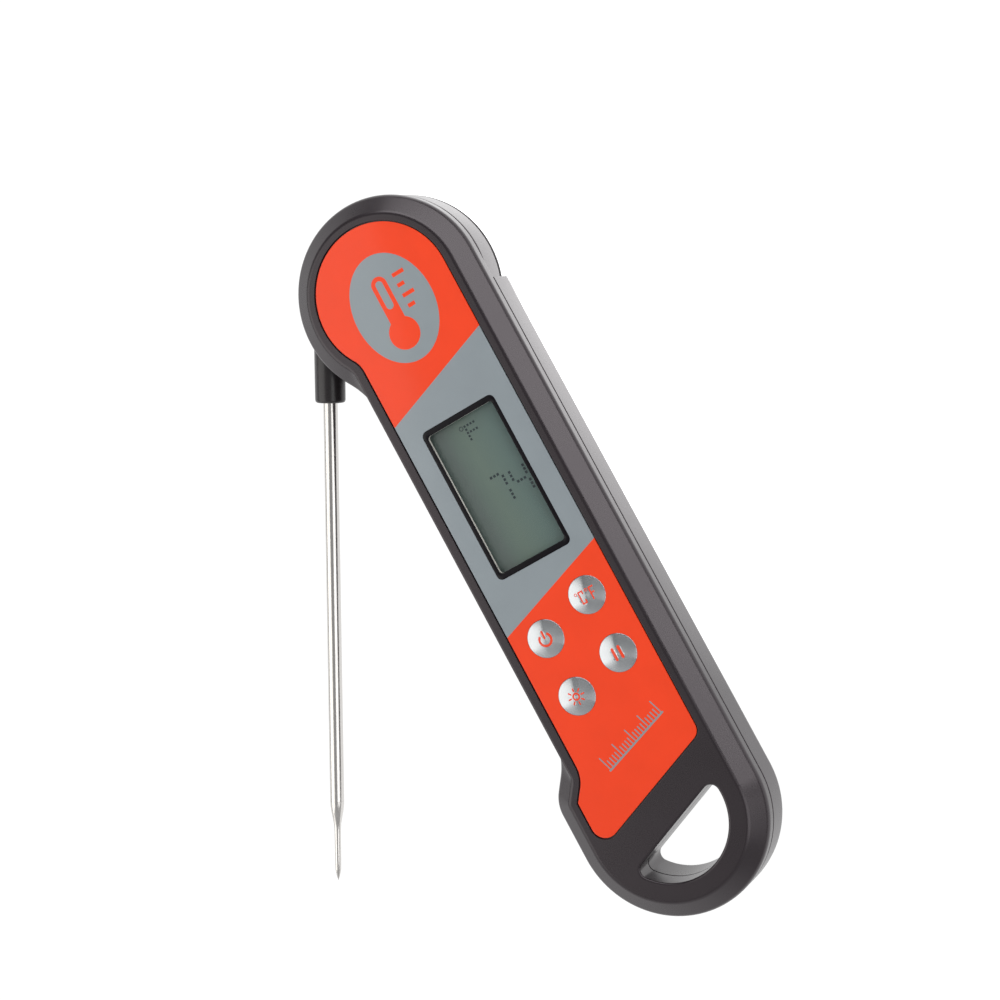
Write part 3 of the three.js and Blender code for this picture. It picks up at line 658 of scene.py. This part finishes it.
def display_glass():
    """The reflective back of a liquid-crystal cell, bluer to the right, with painted shade: its left side is drawn
    darker, where the bezel shades it.
    """
    nodes = surface("display glass", None, 0.35, 0.06, 0.0005, Coat_Weight=0.5, Coat_Roughness=0.04)
    split = nodes.add("ShaderNodeSeparateXYZ")
    nodes.link(nodes.place, split.inputs["Vector"])
    left, right = (DISPLAY[0] - 7.5) * MM, (DISPLAY[0] + 8) * MM
    across = fill(nodes.add("ShaderNodeMapRange"), From_Min=left, From_Max=right)
    nodes.link(split.outputs["X"], across.inputs["Value"])
    ramp = nodes.add("ShaderNodeValToRGB")
    # painted shade: the first stops darken the left of the glass, standing in for the bezel's shadow there
    painted_shade_stops = (
        (0.1, (0.100, 0.134, 0.122)),
        (0.25, (0.112, 0.162, 0.138)),
        (0.42, (0.126, 0.183, 0.150)),
    )
    ends = ramp.color_ramp.elements
    for place, colour in painted_shade_stops:
        ends.new(place).color = (*colour, 1)
    ends[0].color = (*painted_shade_stops[0][1], 1)
    ends[-1].color = (0.106, 0.176, 0.166, 1)
    nodes.link(across.outputs["Result"], ramp.inputs["Fac"])
    nodes.link(ramp.outputs["Color"], nodes.shader.inputs["Base Color"])
    return nodes.material


def window_clear():
    nodes = Nodes("window clear")
    nodes.set(Base_Color=(0.08, 0.09, 0.09, 1), Alpha=0.06)
    nodes.spread(nodes.noise(8, 2), 0.02, 0.05, nodes.shader.inputs["Roughness"])
    return nodes.material


def button_metal():
    """Spun and metallised caps: the rings that spinning leaves draw the reflections out into sectors."""
    nodes = surface("button metal", (0.53, 0.55, 0.57), 0.23, 0.1, 0.0004, vary=0.03, patchy=0.04)
    nodes.set(Metallic=1.0, Anisotropic=0.95, Anisotropic_Rotation=0.25)
    rings = nodes.add("ShaderNodeTangent", direction_type="RADIAL", axis="Z")
    nodes.link(rings.outputs["Tangent"], nodes.shader.inputs["Tangent"])
    return nodes.material


def probe_steel():
    """Drawn stainless tube, with polishing lines along its length."""
    nodes = surface("probe steel", (0.66, 0.64, 0.62), 0.2, 0.5, 0.001, vary=0.05, patchy=0.08, Metallic=1.0)
    turn = fill(nodes.add("ShaderNodeVectorRotate", rotation_type="Z_AXIS"), Angle=OPEN_ANGLE)
    nodes.link(nodes.place, turn.inputs["Vector"])
    nodes.place = turn.outputs["Vector"]
    lines = nodes.noise(0.16, 3, (1, 0.012, 1))
    nodes.bump(lines, 0.004)
    return nodes.material


def plain(name, *look, **values):
    """A finish with nothing added to its grain."""
    return surface(name, *look, **values).material


FINISH = {
    "bezel_black": plain(
        "bezel black", (0.003, 0.002, 0.004), 0.2, 0.1, 0.0006, patchy=0.05, Specular_IOR_Level=0.2
    ),
    "collar_plastic": plain("collar plastic", (0.020, 0.016, 0.018), 0.3, 0.25, 0.004),
    "spring_steel": plain("spring steel", (0.42, 0.40, 0.38), 0.3, 0.15, 0.002, Metallic=1.0),
    "screw_steel": plain("screw steel", (0.34, 0.33, 0.32), 0.32, 0.12, 0.004, Metallic=1.0),
    "white_plastic": plain("white plastic", (0.72, 0.72, 0.68), 0.5, 0.2, 0.004, vary=0.04),
    "board_green": plain("board green", (0.014, 0.10, 0.04), 0.4, 0.35, 0.01, vary=0.3),
    "chip_black": plain("chip black", (0.006, 0.006, 0.006), 0.3, 0.3, 0.006),
    "seal_rubber": plain("seal rubber", (0.03, 0.03, 0.032), 0.85, 0.15, 0.01),
    "natural_plastic": plain("natural plastic", (0.66, 0.62, 0.52), 0.48, 0.3, 0.004, vary=0.05),
    "cell_steel": plain("cell steel", (0.5, 0.5, 0.5), 0.28, 0.1, 0.002, Metallic=1.0),
    "wire_coat": plain("wire coat", (0.44, 0.05, 0.02), 0.6, 0.2, 0.006),
    "shell_plastic": shell_plastic(),
    "overlay_film": film("film orange", (0.90, 0.054, 0.008), 0.0),
    "display_glass": display_glass(),
    "window_clear": window_clear(),
    "button_metal": button_metal(),
    "probe_steel": probe_steel(),
}
COVER = plain("cover plastic", (0.012, 0.010, 0.012), 0.5, 0.2, 0.006, Specular_IOR_Level=0.35)
SILVER = film("film silver", (0.272, 0.31, 0.335), 0.25)
LEGEND = film("legend orange", (0.86, 0.062, 0.020), 0.0)
SEGMENT = plain("segment ink", (0.010, 0.020, 0.028), 0.4, 0.1, 0.0005)
FRAME_EDGE = plain("frame edge", (0.55, 0.54, 0.50), 0.25, 0.1, 0.001, vary=0.05)


# ----- case halves
def front_skin():
    """The front half's layers: a lip at the seam, the side wall, and a flat bevel between two soft turns."""
    base = FRONT_BASE + SEAM_EASE
    foot = [(BODY.inset(g).points(), base + h) for g, h in bend((LIP, 0), (0, 0), (0, LIP))]
    rise = FRONT_Z - BEVEL_Z
    start, end = ((share * BEVEL_WIDTH, BEVEL_Z + share * rise) for share in (0.16, 0.88))
    low_turn = bend((0, BEVEL_Z - 0.95), (0, BEVEL_Z), start, 7)
    high_turn = bend(end, (BEVEL_WIDTH, FRONT_Z), (BEVEL_WIDTH + 0.45, FRONT_Z), 5)
    return foot + [(face_ring(depth), z) for depth, z in low_turn + high_turn]


def front_shell():
    base = FRONT_BASE
    skin = loft(front_skin())
    inner = BODY.inset(WALL).points()
    hollow = loft(
        [(inner, base - OVER), (inner, BEVEL_Z - WALL / 2), (FACE.inset(WALL).points(), CEILING_Z)]
    )
    top = CEILING_Z + 0.5
    plate_z = high("hinge_plate").z + 0.1
    inside_parts = [
        extrude(loop_outline(WALL), base, top),
        *holes(CASE_SCREWS, BOSS_RADIUS, base, top, steps=24),
        *holes(PLATE_SCREWS, BOSS_RADIUS, plate_z, top, steps=24),
    ]
    fittings = combine(join(*inside_parts), "INTERSECT", copy_of(skin))
    shell = join(cut(skin, hollow), fittings)
    cutters = [
        flared(lambda g: film_outline(0.26 + g), FILM_BASE - 0.05, FRONT_Z, 0, 0.1),
        flared(loop_outline, base, FRONT_Z, LIP, 0.5),
        extrude(display_outline(0.1), CEILING_Z - OVER, FRONT_Z),
        *holes(BUTTONS.values(), BUTTON_RADIUS + 0.3, CEILING_Z - OVER, FRONT_Z),
        *holes(CASE_SCREWS, PILOT_RADIUS, base - OVER, 13.4, steps=16),
        *holes(PLATE_SCREWS, PILOT_RADIUS, plate_z - OVER, 13.8, steps=16),
    ]
    return cut(shell, *cutters)


def eased(share):
    share = min(max(share, 0), 1)
    return share * share * (3 - 2 * share)


def rear_ring(by):
    """The case's outline drawn in by a distance, which lessens towards the hub."""
    points = BODY.points() + [(HALF_WIDTH, FOOT_Y * (1 - i / 40)) for i in range(1, 40)]
    ring = []
    for before, point, after in zip(points[-1:] + points[:-1], points, points[1:] + points[:1]):
        along = Vector(after) - Vector(before)
        inward = Vector((-along.y, along.x)).normalized()
        share = 0.3 + 0.7 * eased((math.hypot(*point) - HUB_HOLE) / 6)
        ring.append(tuple(Vector(point) + inward * by * share))
    return ring


def tip_slot():
    """The slot for the folded probe's tip, open to the left, drawn in the YZ plane and laid over."""
    section = rounded_box(4.9, -113.3, 4.5, 32.6, 1.4, 6)
    slot = extrude(section, 15.2, HALF_WIDTH + OVER)
    slot.data.transform(Matrix(((0, 0, -1, 0), (0, 1, 0, 0), (1, 0, 0, 0), (0, 0, 0, 1))))
    return slot


def door_hole():
    """The hole behind the battery door, with notches that let its three tabs in."""
    steps, notch = 144, TAB_HALF * 1.3
    points = []
    for angle in (i * TURN / steps for i in range(steps)):
        off = (angle - QUARTER + DOOR_TURN) % (TURN / 3)
        reach = TAB_RADIUS + 0.35 if min(off, TURN / 3 - off) < notch else DOOR_NECK + DOOR_GAP
        points.append((reach * math.cos(angle), reach * math.sin(angle)))
    return moved(points, *DOOR)


def rear_shell():
    top = REAR_TOP
    turn = bend((0, 0), (BACK_ROUND, 0), (BACK_ROUND, BACK_ROUND), 8)
    round_edge = [(rear_ring(BACK_ROUND - g), h) for g, h in turn]
    lip = [(rear_ring(g), top - SEAM_EASE - h) for g, h in bend((0, LIP), (0, 0), (LIP, 0))]
    skin = loft(round_edge + lip)
    hollow = extrude(BODY.inset(WALL + 0.3).points(), FLOOR_Z, top + OVER)
    inside_parts = [
        hole(0, 0, HUB_HOLE + WALL, 0, top, steps=96),
        extrude(loop_outline(WALL), 0, top),
        box(-HALF_WIDTH, -13.8, -131, -97, 0, top),  # round the tip's slot
        box(-HALF_WIDTH, -11.6, -25.6, 0, 0, top),  # beside the collar's pocket
        *holes(CASE_SCREWS, BOSS_RADIUS, 0, top, steps=24),
    ]
    fittings = combine(join(*inside_parts), "INTERSECT", copy_of(skin))
    shell = join(cut(skin, hollow), fittings)
    left, right, end = -HALF_WIDTH - 3, -13.3, -25.1
    pocket = [(left, OVER), (left, end), (right - 0.9, end), (right, end + 0.9), (right, OVER)]
    cutters = [
        hole(0, 0, HUB_HOLE, 0, top, 0.35, LIP, steps=144),
        flared(loop_outline, 0, top, 0.8, LIP),
        extrude(pocket, -OVER, top + OVER),
        box(HALF_WIDTH - 0.7, HALF_WIDTH + OVER, -7.4, OVER, -OVER, top + OVER),  # blunts the horn
        tip_slot(),
        hole(*DOOR, DOOR_RADIUS + DOOR_GAP, 0, 1.4, 0.3, steps=96),
        extrude(door_hole(), 1, FLOOR_Z + OVER),
        *holes(CASE_SCREWS, 1.95, 0, 1.5, 0.25, steps=40),
        *holes(CASE_SCREWS, 1.1, 1, top + OVER, steps=16),
    ]
    return cut(shell, *cutters)


# ----- front face
def colour_region(x, y):
    above = y > UPPER_BORDER + BORDER_SLOPE * x
    below = y < LOWER_BORDER + BORDER_SLOPE * x
    return 0 if above or below else 1


def overlay_film():
    """The printed film: orange at both ends, silver round the display, with its printed marks."""
    edge = 0.1
    rings = [(0.0, FILM_BASE), (0.0, FILM_TOP - edge)]
    rings += [(-g, FILM_TOP - h) for g, h in bend((0, edge), (0, 0), (edge, 0), 3)][1:]
    outlines = [film_outline(grow) for grow, _ in rings]
    top = outlines[-1]
    oval = [(0.75 + 9.2 * x, -3.2 + 11.9 * y) for x, y in circle(0, 0, 1, 96)]
    emblem = merged([thermometer_mark()], 0.2, -3.6, 0, 1.12)
    scale = merged([scale_mark()], 1.9, -103.2, math.atan(0.36))
    silver = border_ends(FILM.waist + edge, FILM.radius - edge)
    button_rings = [circle(x, y, BUTTON_RADIUS + BUTTON_GAP, 96) for x, y in BUTTONS.values()]
    openings = [display_outline(), *button_rings]
    marks = [emblem, ([oval], []), scale, ([silver], [])]
    slot_of = [0, 0, 1, 1, 1]  # plain film, emblem, oval, scale, silver field
    verts, faces, slots = patch(top, openings, marks, lambda x, y: FILM_TOP)
    slots = [slot_of[s] for s in slots]
    side = [(x, y, z) for outline, (_, z) in zip(outlines, rings) for x, y in outline]
    sheets = [
        patch(outlines[0], openings, [], lambda x, y: FILM_BASE),
        (side, bands(len(rings), len(top)), None),
    ]
    for outline in openings:
        wall = [(x, y, z) for z in (FILM_BASE, FILM_TOP) for x, y in outline]
        sheets.append((wall, bands(2, len(outline)), None))
    for points, more, known in sheets:
        first = len(verts)
        verts += points
        faces += [tuple(first + i for i in face) for face in more]
        centres = [sum((Vector(points[i]) for i in face), Vector()) / len(face) for face in more]
        slots += known or [colour_region(c.x, c.y) for c in centres]
    return new_object("film", verts, faces, slots)


def bezel_ring():
    """The black frame of the display, whose inner wall is pale and catches the light."""
    base, top = low("display_bezel").z, FILM_TOP
    lip = 0.12
    outer = [(display_outline(-0.05), base)]
    outer += [(display_outline(-0.05 - g), top - h) for g, h in bend((0, lip), (0, 0), (lip, 0), 3)]
    inner = [(view_outline(lip - g), top - h) for g, h in bend((0, 0), (lip, 0), (lip, lip), 3)]
    inner += [(view_outline(), base + 0.72), (view_outline(), base)]
    layers = outer + inner
    count = len(outer[0][0])
    verts = [(x, y, z) for outline, z in layers for x, y in outline]
    faces = bands(len(layers), count, True)
    pale = len(layers) - 2
    slots = [1 if i // count == pale else 0 for i in range(len(faces))]
    return new_object("bezel", verts, faces, slots)


def dot(x, y, size):
    half = size / 2
    return [(x - half, y - half), (x + half, y - half), (x + half, y + half), (x - half, y + half)]


def figure(lit, x, y):
    """A figure of seven segments, a to g, each of three dots, with its lower left corner at x, y."""
    ends = {
        "a": (1, 8, 1, 0), "b": (4, 5, 0, 1), "c": (4, 1, 0, 1), "d": (1, 0, 1, 0),
        "e": (0, 1, 0, 1), "f": (0, 5, 0, 1), "g": (1, 4, 1, 0),
    }  # fmt: skip
    loops = []
    for column, row, across, up in (ends[segment] for segment in lit):
        places = [(column + i * across, row + i * up) for i in range(3)]
        loops += [dot(x + a * FIGURE_STEP, y + b * FIGURE_STEP, DOT_SIZE) for a, b in places]
    return loops


def segments():
    """The reading: two large figures, and the sign of its scale at the top."""
    x, y = DISPLAY[0] + READING[0], DISPLAY[1] + READING[1]
    loops = figure("abc", x, y) + figure("fgbc", x + FIGURE_PITCH, y)
    left, top = DISPLAY[0] + SCALE_SIGN[0], DISPLAY[1] + SCALE_SIGN[1]
    squares = [(0, row) for row in range(5)] + [(column, row) for column in (1, 2, 3) for row in (0, 2)]
    loops += [dot(left + SIGN_STEP * column, top - SIGN_STEP * row, 0.46) for column, row in squares]
    return loops + [dot(px, py, 0.2) for px, py in circle(left - 0.92, top - 0.1, 0.42, 10)]


def lcd_glass():
    top = high("lcd_panel").z
    lip = 0.1
    layers = [(display_outline(-0.1), low("lcd_panel").z)]
    layers += [(display_outline(-0.1 - g), top - h) for g, h in bend((0, lip), (0, 0), (lip, 0), 3)]
    return loft(layers)


def lcd_segments():
    z = high("lcd_panel").z
    verts, faces = [], []
    for loop in segments():
        first = len(verts)
        verts += [(x, y, z) for x, y in loop] + [(x, y, z + INK_LIFT) for x, y in loop]
        faces += [tuple(first + i for i in f) for f in bands(2, 4)]
        faces += [(first + 3, first + 2, first + 1, first), (first + 4, first + 5, first + 6, first + 7)]
    return new_object("segments", verts, faces)


def button_cap(name, mark):
    """A domed cap on its flange and stem, with its mark printed on the dome."""
    around = 96
    rim, flange, stem = BUTTON_RADIUS - 0.1, BUTTON_RADIUS + 0.9, 1.3
    rim_z, under, flange_z = FILM_TOP + BUTTON_GAP, CEILING_Z - 0.15, 13.3
    dome = high("button_" + name).z - 0.02 - rim_z

    def height(px, py):
        share = min(math.hypot(px, py) / rim, 1)
        return rim_z + dome * (1 - share * share)

    rings = [circle(0, 0, rim * i / 9, 16 + 6 * i) for i in range(1, 9)]
    loose = [p for ring in rings for p in ring] + [(0, 0)]
    verts, faces, slots = patch(circle(0, 0, rim, around), [], [merged(mark)], height, loose)
    side = [
        *bend((rim, rim_z), (BUTTON_RADIUS, rim_z - 0.02), (BUTTON_RADIUS, rim_z - 0.12), 4),
        (BUTTON_RADIUS, under),
        (flange, under),
        (flange, flange_z),
        (stem, flange_z),
        (stem, low("button_" + name).z),
    ]
    first = len(verts)
    verts += [(r * cx, r * cy, z) for r, z in side for cx, cy in circle(0, 0, 1, around)]
    faces += [tuple(first + i for i in f) for f in bands(len(side), around)]
    faces.append(tuple(range(len(verts) - around, len(verts))))
    slots += [0] * (len(faces) - len(slots))
    cap = new_object("cap", verts, faces, slots)
    cap.data.transform(Matrix.Translation((*BUTTONS[name], 0)))
    return cap


# ----- hub and probe, drawn folded
def opened(piece):
    """Turns a piece drawn with the probe folded to where it stands at rest."""
    piece.data.transform(Matrix.Rotation(-OPEN_ANGLE, 4, "Z"))
    return piece


def along_probe(profile, steps=48):
    """A solid turned about the probe from [radius, distance from the hinge] points."""
    piece = turned(profile, steps=steps)
    piece.data.transform(Matrix.Translation((-PROBE_OFFSET, 0, PROBE_Z)) @ Matrix.Rotation(QUARTER, 4, "X"))
    return opened(piece)


def hub_cup():
    """The rear half of the round head: a cup with a hollow journal that turns in the hinge plate."""
    base, top, ceiling = low("hub_shell").z + SEAM_EASE, 9.35, 8.35
    inner, journal, bore, crown = HUB_RADIUS - 1.9, 6.8, 4.0, high("hub_shell").z
    edge = HUB_EDGE
    profile = [
        *bend((edge - 0.3, base), (edge, base), (edge, base + 0.3), 3),
        *bend((edge, top - 0.5), (edge, top), (edge - 0.5, top), 5),
        (journal + 0.3, top),
        (journal, top + 0.3),
        (journal, crown - 0.2),
        (journal - 0.2, crown),
        (bore, crown),
        (bore, ceiling),
        (inner, ceiling),
        (inner, base),
    ]
    cup = turned(profile, steps=144)
    posts = holes(HUB_SCREWS, BOSS_RADIUS, base, ceiling + 0.5, steps=24)
    pilots = holes(HUB_SCREWS, PILOT_RADIUS, 0, 7.4, steps=16)
    start, end = 2.8, COLLAR_END + 7
    collar_hole = along_probe([(0, start), (COLLAR_RADIUS, start), (COLLAR_RADIUS, end), (0, end)])
    return cut(join(cup, *posts), collar_hole, *pilots)


def hub_back():
    """The cover on the back of the hub, with a shallow dish and three sunk screws."""
    top, edge, dish = high("hub_cover").z - SEAM_EASE, HUB_EDGE, 0.35
    profile = [
        (0, dish),
        (6, dish),
        *bend((6.2, dish), (6.6, 0.3), (6.9, 0.0), 4),
        *bend((edge - 0.9, 0), (edge, 0), (edge, 0.8), 6),
        *bend((edge, top - 0.3), (edge, top), (edge - 0.3, top), 3),
        (0, top),
    ]
    plate = turned(profile, steps=144)
    heads = holes(HUB_SCREWS, 1.9, 0, 0.9, 0.2, steps=40)
    shanks = holes(HUB_SCREWS, 1.05, 0.5, top + OVER, steps=16)
    return cut(plate, *heads, *shanks)


def collar():
    """The gland that the probe stands in, with a soft rim at its free end."""
    start, end = 3.2, COLLAR_END
    bore = PROBE_RADIUS + 0.04
    profile = [
        (bore, start),
        *bend((2.8, start), (3.05, start), (3.05, start + 0.3), 3),
        (COLLAR_RADIUS, 8),
        (3.26, 20.2),
        *bend((3.25, end - 0.8), (3.24, end), (2.6, end), 6),
        *bend((bore + 0.35, end), (bore, end), (bore, end - 0.35), 3),
    ]
    return along_probe(profile, 72)


def tube():
    bore, start = 1.2, 6
    return along_probe([(bore, start), (PROBE_RADIUS, start), (PROBE_RADIUS, TUBE_END), (bore, TUBE_END)], 64)


def tip():
    """Swaged down from the tube, over a shoulder, to a slender rod with a point. Its bore is closed."""
    start, bore, bore_end = TUBE_END + 0.02, 0.45, PROBE_END - 3.6
    profile = [
        (0, bore_end),
        (bore, bore_end),
        (bore, start),
        (PROBE_RADIUS, start),
        *bend((PROBE_RADIUS - 0.02, start + 0.6), (PROBE_RADIUS - 0.12, start + 2), (1.2, start + 3), 6),
        *bend((0.86, 114.4), (0.72, 115.3), (0.71, 117), 6),
        (0.69, 122.5),
        *bend((0.64, 124.7), (0.5, 125.8), (0.1, PROBE_END - 0.35), 6),
        (0, PROBE_END - 0.05),
    ]
    return along_probe(profile)


# ----- battery door and screws
def door_tabs():
    middles = [QUARTER + i * TURN / 3 for i in range(3)]
    tabs = [band_mark(0, 0, TAB_RADIUS - 1.2, 2.4, a - TAB_HALF, a + TAB_HALF, 8) for a in middles]
    return [extrude(tab, DOOR_TOP - 0.5, DOOR_TOP) for tab in tabs]


def battery_door():
    """A bayonet door with three tabs, a coin slot and a sunk arrow."""
    base, face_top = low("battery_door").z, 0.95
    profile = [
        (0, base),
        *bend((DOOR_RADIUS - 0.4, base), (DOOR_RADIUS, base), (DOOR_RADIUS, base + 0.4), 4),
        (DOOR_RADIUS, face_top),
        (DOOR_NECK, face_top),
        (DOOR_NECK, DOOR_TOP),
        (0, DOOR_TOP),
    ]
    plate = turned(profile)
    slot = flared(lambda g: bar(-6.6, 0, 6.6, 0, 1.8 + 2 * g, 10), base, base + 0.5, 0.2)
    arrow = extrude([(-1.1, 8.2), (1.1, 8.2), (0, 10.2)], base - OVER, base + MARK_DEPTH)
    door = cut(join(plate, *door_tabs()), slot, arrow)
    door.data.transform(Matrix.Translation((*DOOR, 0)))
    return door


def screw_form(node, head_height):
    """A pan-head screw with a cross recess, threaded below its head."""
    start, end = low(node).z, high(node).z
    head_z, face_z = start + head_height, start + 0.02
    radius, shank, pitch = 1.68, 0.9, 0.6
    profile = [
        (0, face_z),
        *bend((radius * 0.62, face_z), (radius, start + 0.05), (radius, head_z - 0.25), 5),
        (radius, head_z),
        (shank - 0.12, head_z),
    ]
    for i in range(int((end - head_z - 1.2) / pitch)):
        z = head_z + 0.2 + i * pitch
        profile += [(shank - 0.14, z), (shank, z + pitch * 0.35), (shank - 0.14, z + pitch * 0.7)]
    profile += [(shank - 0.2, end - 0.8), (0, end)]
    body = turned(profile, steps=32)
    cross = [bar(-0.85, 0, 0.85, 0, 0.3), bar(0, -0.85, 0, 0.85, 0.3)]
    screw = cut(body, *[extrude(arm, start - OVER, start + head_height * 0.6) for arm in cross])
    screw.data.transform(Matrix.Translation((*spot(node), 0)))
    return screw


def lock_marks():
    """Cutters for two dots on the back, where the door's arrow points when it is shut and when it opens,
    and for an arc between them."""
    shut, free, gap = QUARTER, QUARTER - DOOR_TURN, math.radians(7)
    loops = [circle(LOCK_RADIUS * math.cos(a), LOCK_RADIUS * math.sin(a), 0.55, 20) for a in (shut, free)]
    loops.append(band_mark(0, 0, LOCK_RADIUS, 0.4, free + gap, shut - gap, 12))
    return [extrude(moved(loop, *DOOR), -OVER, MARK_DEPTH) for loop in loops]


# ----- the assembly
def build_case():
    stand_in("front_shell", front_shell(), "casing", "shell_plastic")
    stand_in("rear_shell", cut(rear_shell(), *lock_marks()), "casing", "shell_plastic")
    stand_in("overlay", overlay_film(), "casing", "overlay_film", SILVER)
    stand_in("display_bezel", bezel_ring(), "casing", "bezel_black", FRAME_EDGE)
    stand_in("lcd_panel", lcd_glass(), "casing", "display_glass")
    finished(lcd_segments(), "lcd_segments", "casing", [SEGMENT])


def build_buttons():
    marks = {"unit": unit_mark(), "power": power_mark(), "hold": hold_mark(), "light": light_mark()}
    for name, mark in marks.items():
        stand_in("button_" + name, button_cap(name, mark), "button_" + name, "button_metal", LEGEND)


def build_probe():
    stand_in("hub_shell", hub_cup(), "probe_arm", "shell_plastic")
    finished(hub_back(), "hub_cover_form", "probe_arm", [COVER], ["hub_cover"])
    stand_in("probe_collar", collar(), "probe_arm", "collar_plastic")
    stand_in("probe_tube", tube(), "probe_arm", "probe_steel")
    stand_in("probe_tip", tip(), "probe_arm", "probe_steel")


def build_door_and_screws():
    stand_in("battery_door", battery_door(), "door", "shell_plastic")
    groups = [("case_screw", CASE_SCREWS, 1.0, "casing"), ("hub_screw", HUB_SCREWS, 0.7, "probe_arm")]
    for kind, places, head_height, body in groups:
        for i in range(1, len(places) + 1):
            node = f"{kind}_{i}"
            stand_in(node, screw_form(node, head_height), body, "screw_steel")


def paint_cad_nodes():
    """Every CAD node that still shows takes the finish of its slot."""
    slots = {part["node"]: part["material_slot"] for part in frame["record"]["subparts"]}
    for name, node in frame["nodes"].items():
        if not node.hide_render:
            node.data.materials.clear()
            node.data.materials.append(FINISH[slots[name]])


# ----- camera, light and floor
def camera():
    data = bpy.data.cameras.new("camera")
    data.lens = CAMERA_LENS
    data.sensor_width = 36
    data.clip_start, data.clip_end = 0.02, 20
    view = bpy.data.objects.new("camera", data)
    view.location = CAMERA_PLACE
    view.rotation_euler = [math.radians(a) for a in CAMERA_TURN]
    bpy.context.scene.collection.objects.link(view)
    bpy.context.scene.camera = view


def softbox(name, azimuth, elevation, width, height, radiance, colour=(1, 1, 1)):
    """A soft light LIGHT_DISTANCE from the middle of the object and turned towards it."""
    side, rise = math.radians(azimuth), math.radians(elevation)
    away = Vector((math.cos(rise) * math.cos(side), math.cos(rise) * math.sin(side), math.sin(rise)))
    data = bpy.data.lights.new(name, "AREA")
    data.shape = "RECTANGLE"
    data.size, data.size_y = width, height
    data.energy = radiance * math.pi * width * height
    data.color = colour
    light = bpy.data.objects.new(name, data)
    light.location = Vector(LIGHT_CENTRE) + away * LIGHT_DISTANCE
    light.rotation_euler = away.to_track_quat("Z", "Y").to_euler()
    bpy.context.scene.collection.objects.link(light)


def sky():
    """Dim light from all round, least from the side that is opposite the bright one."""
    world = bpy.data.worlds.new("studio")
    world.use_nodes = True
    nodes, links = world.node_tree.nodes, world.node_tree.links
    lean = nodes.new("ShaderNodeVectorMath")
    lean.operation = "DOT_PRODUCT"
    lean.inputs[1].default_value = BRIGHT_SIDE
    links.new(nodes.new("ShaderNodeTexCoord").outputs["Generated"], lean.inputs[0])
    share = fill(nodes.new("ShaderNodeMapRange"), From_Min=-1)
    links.new(lean.outputs["Value"], share.inputs["Value"])
    ramp = nodes.new("ShaderNodeValToRGB")
    links.new(share.outputs["Result"], ramp.inputs["Fac"])
    ramp.color_ramp.elements[0].color = (0.08, 0.08, 0.08, 1)
    for place, light in ((0.5, 0.34), (0.78, 0.42)):
        ramp.color_ramp.elements.new(place).color = (light, light, light, 1)
    links.new(ramp.outputs["Color"], nodes["Background"].inputs["Color"])
    bpy.context.scene.world = world


def studio():
    sky()
    softbox("left", 164, 42, 0.62, 0.72, 1.47, (1, 0.985, 0.945))
    softbox("right", 38, 28, 1.5, 0.42, 3.1)
    softbox("right front", -40, 41, 0.46, 0.52, 1.5)
    bpy.context.scene.view_settings.view_transform = "Standard"


def floor():
    """White paper that glows a little, with a pool of light beside the right-hand side of the case."""
    sides = ((-1, -1), (1, -1), (1, 1), (-1, 1))
    corners = [(x * FLOOR_HALF, y * FLOOR_HALF, -FLOOR_DROP) for x, y in sides]
    piece = new_object("floor", corners, [(0, 1, 2, 3)])
    nodes = Nodes("floor paper")
    nodes.tint(nodes.noise(40, 2), (0.06, 0.06, 0.06), (0.08, 0.08, 0.08))
    nodes.set(Roughness=0.9, Specular_IOR_Level=0.0, Emission_Color=(1, 1, 1, 1))
    pool = fill(nodes.add("ShaderNodeMapping", vector_type="TEXTURE"), Location=POOL_PLACE, Scale=POOL_REACH)
    nodes.link(nodes.place, pool.inputs["Vector"])
    fade = nodes.add("ShaderNodeTexGradient", gradient_type="SPHERICAL")
    nodes.link(pool.outputs["Vector"], fade.inputs["Vector"])
    glow = fill(nodes.add("ShaderNodeMapRange"), To_Min=1.0, To_Max=POOL_GLOW)
    nodes.link(fade.outputs["Fac"], glow.inputs["Value"])
    nodes.link(glow.outputs["Result"], nodes.shader.inputs["Emission Strength"])
    piece.data.materials.append(nodes.material)


camera()
build_case()
build_buttons()
build_probe()
build_door_and_screws()
paint_cad_nodes()
studio()
floor()
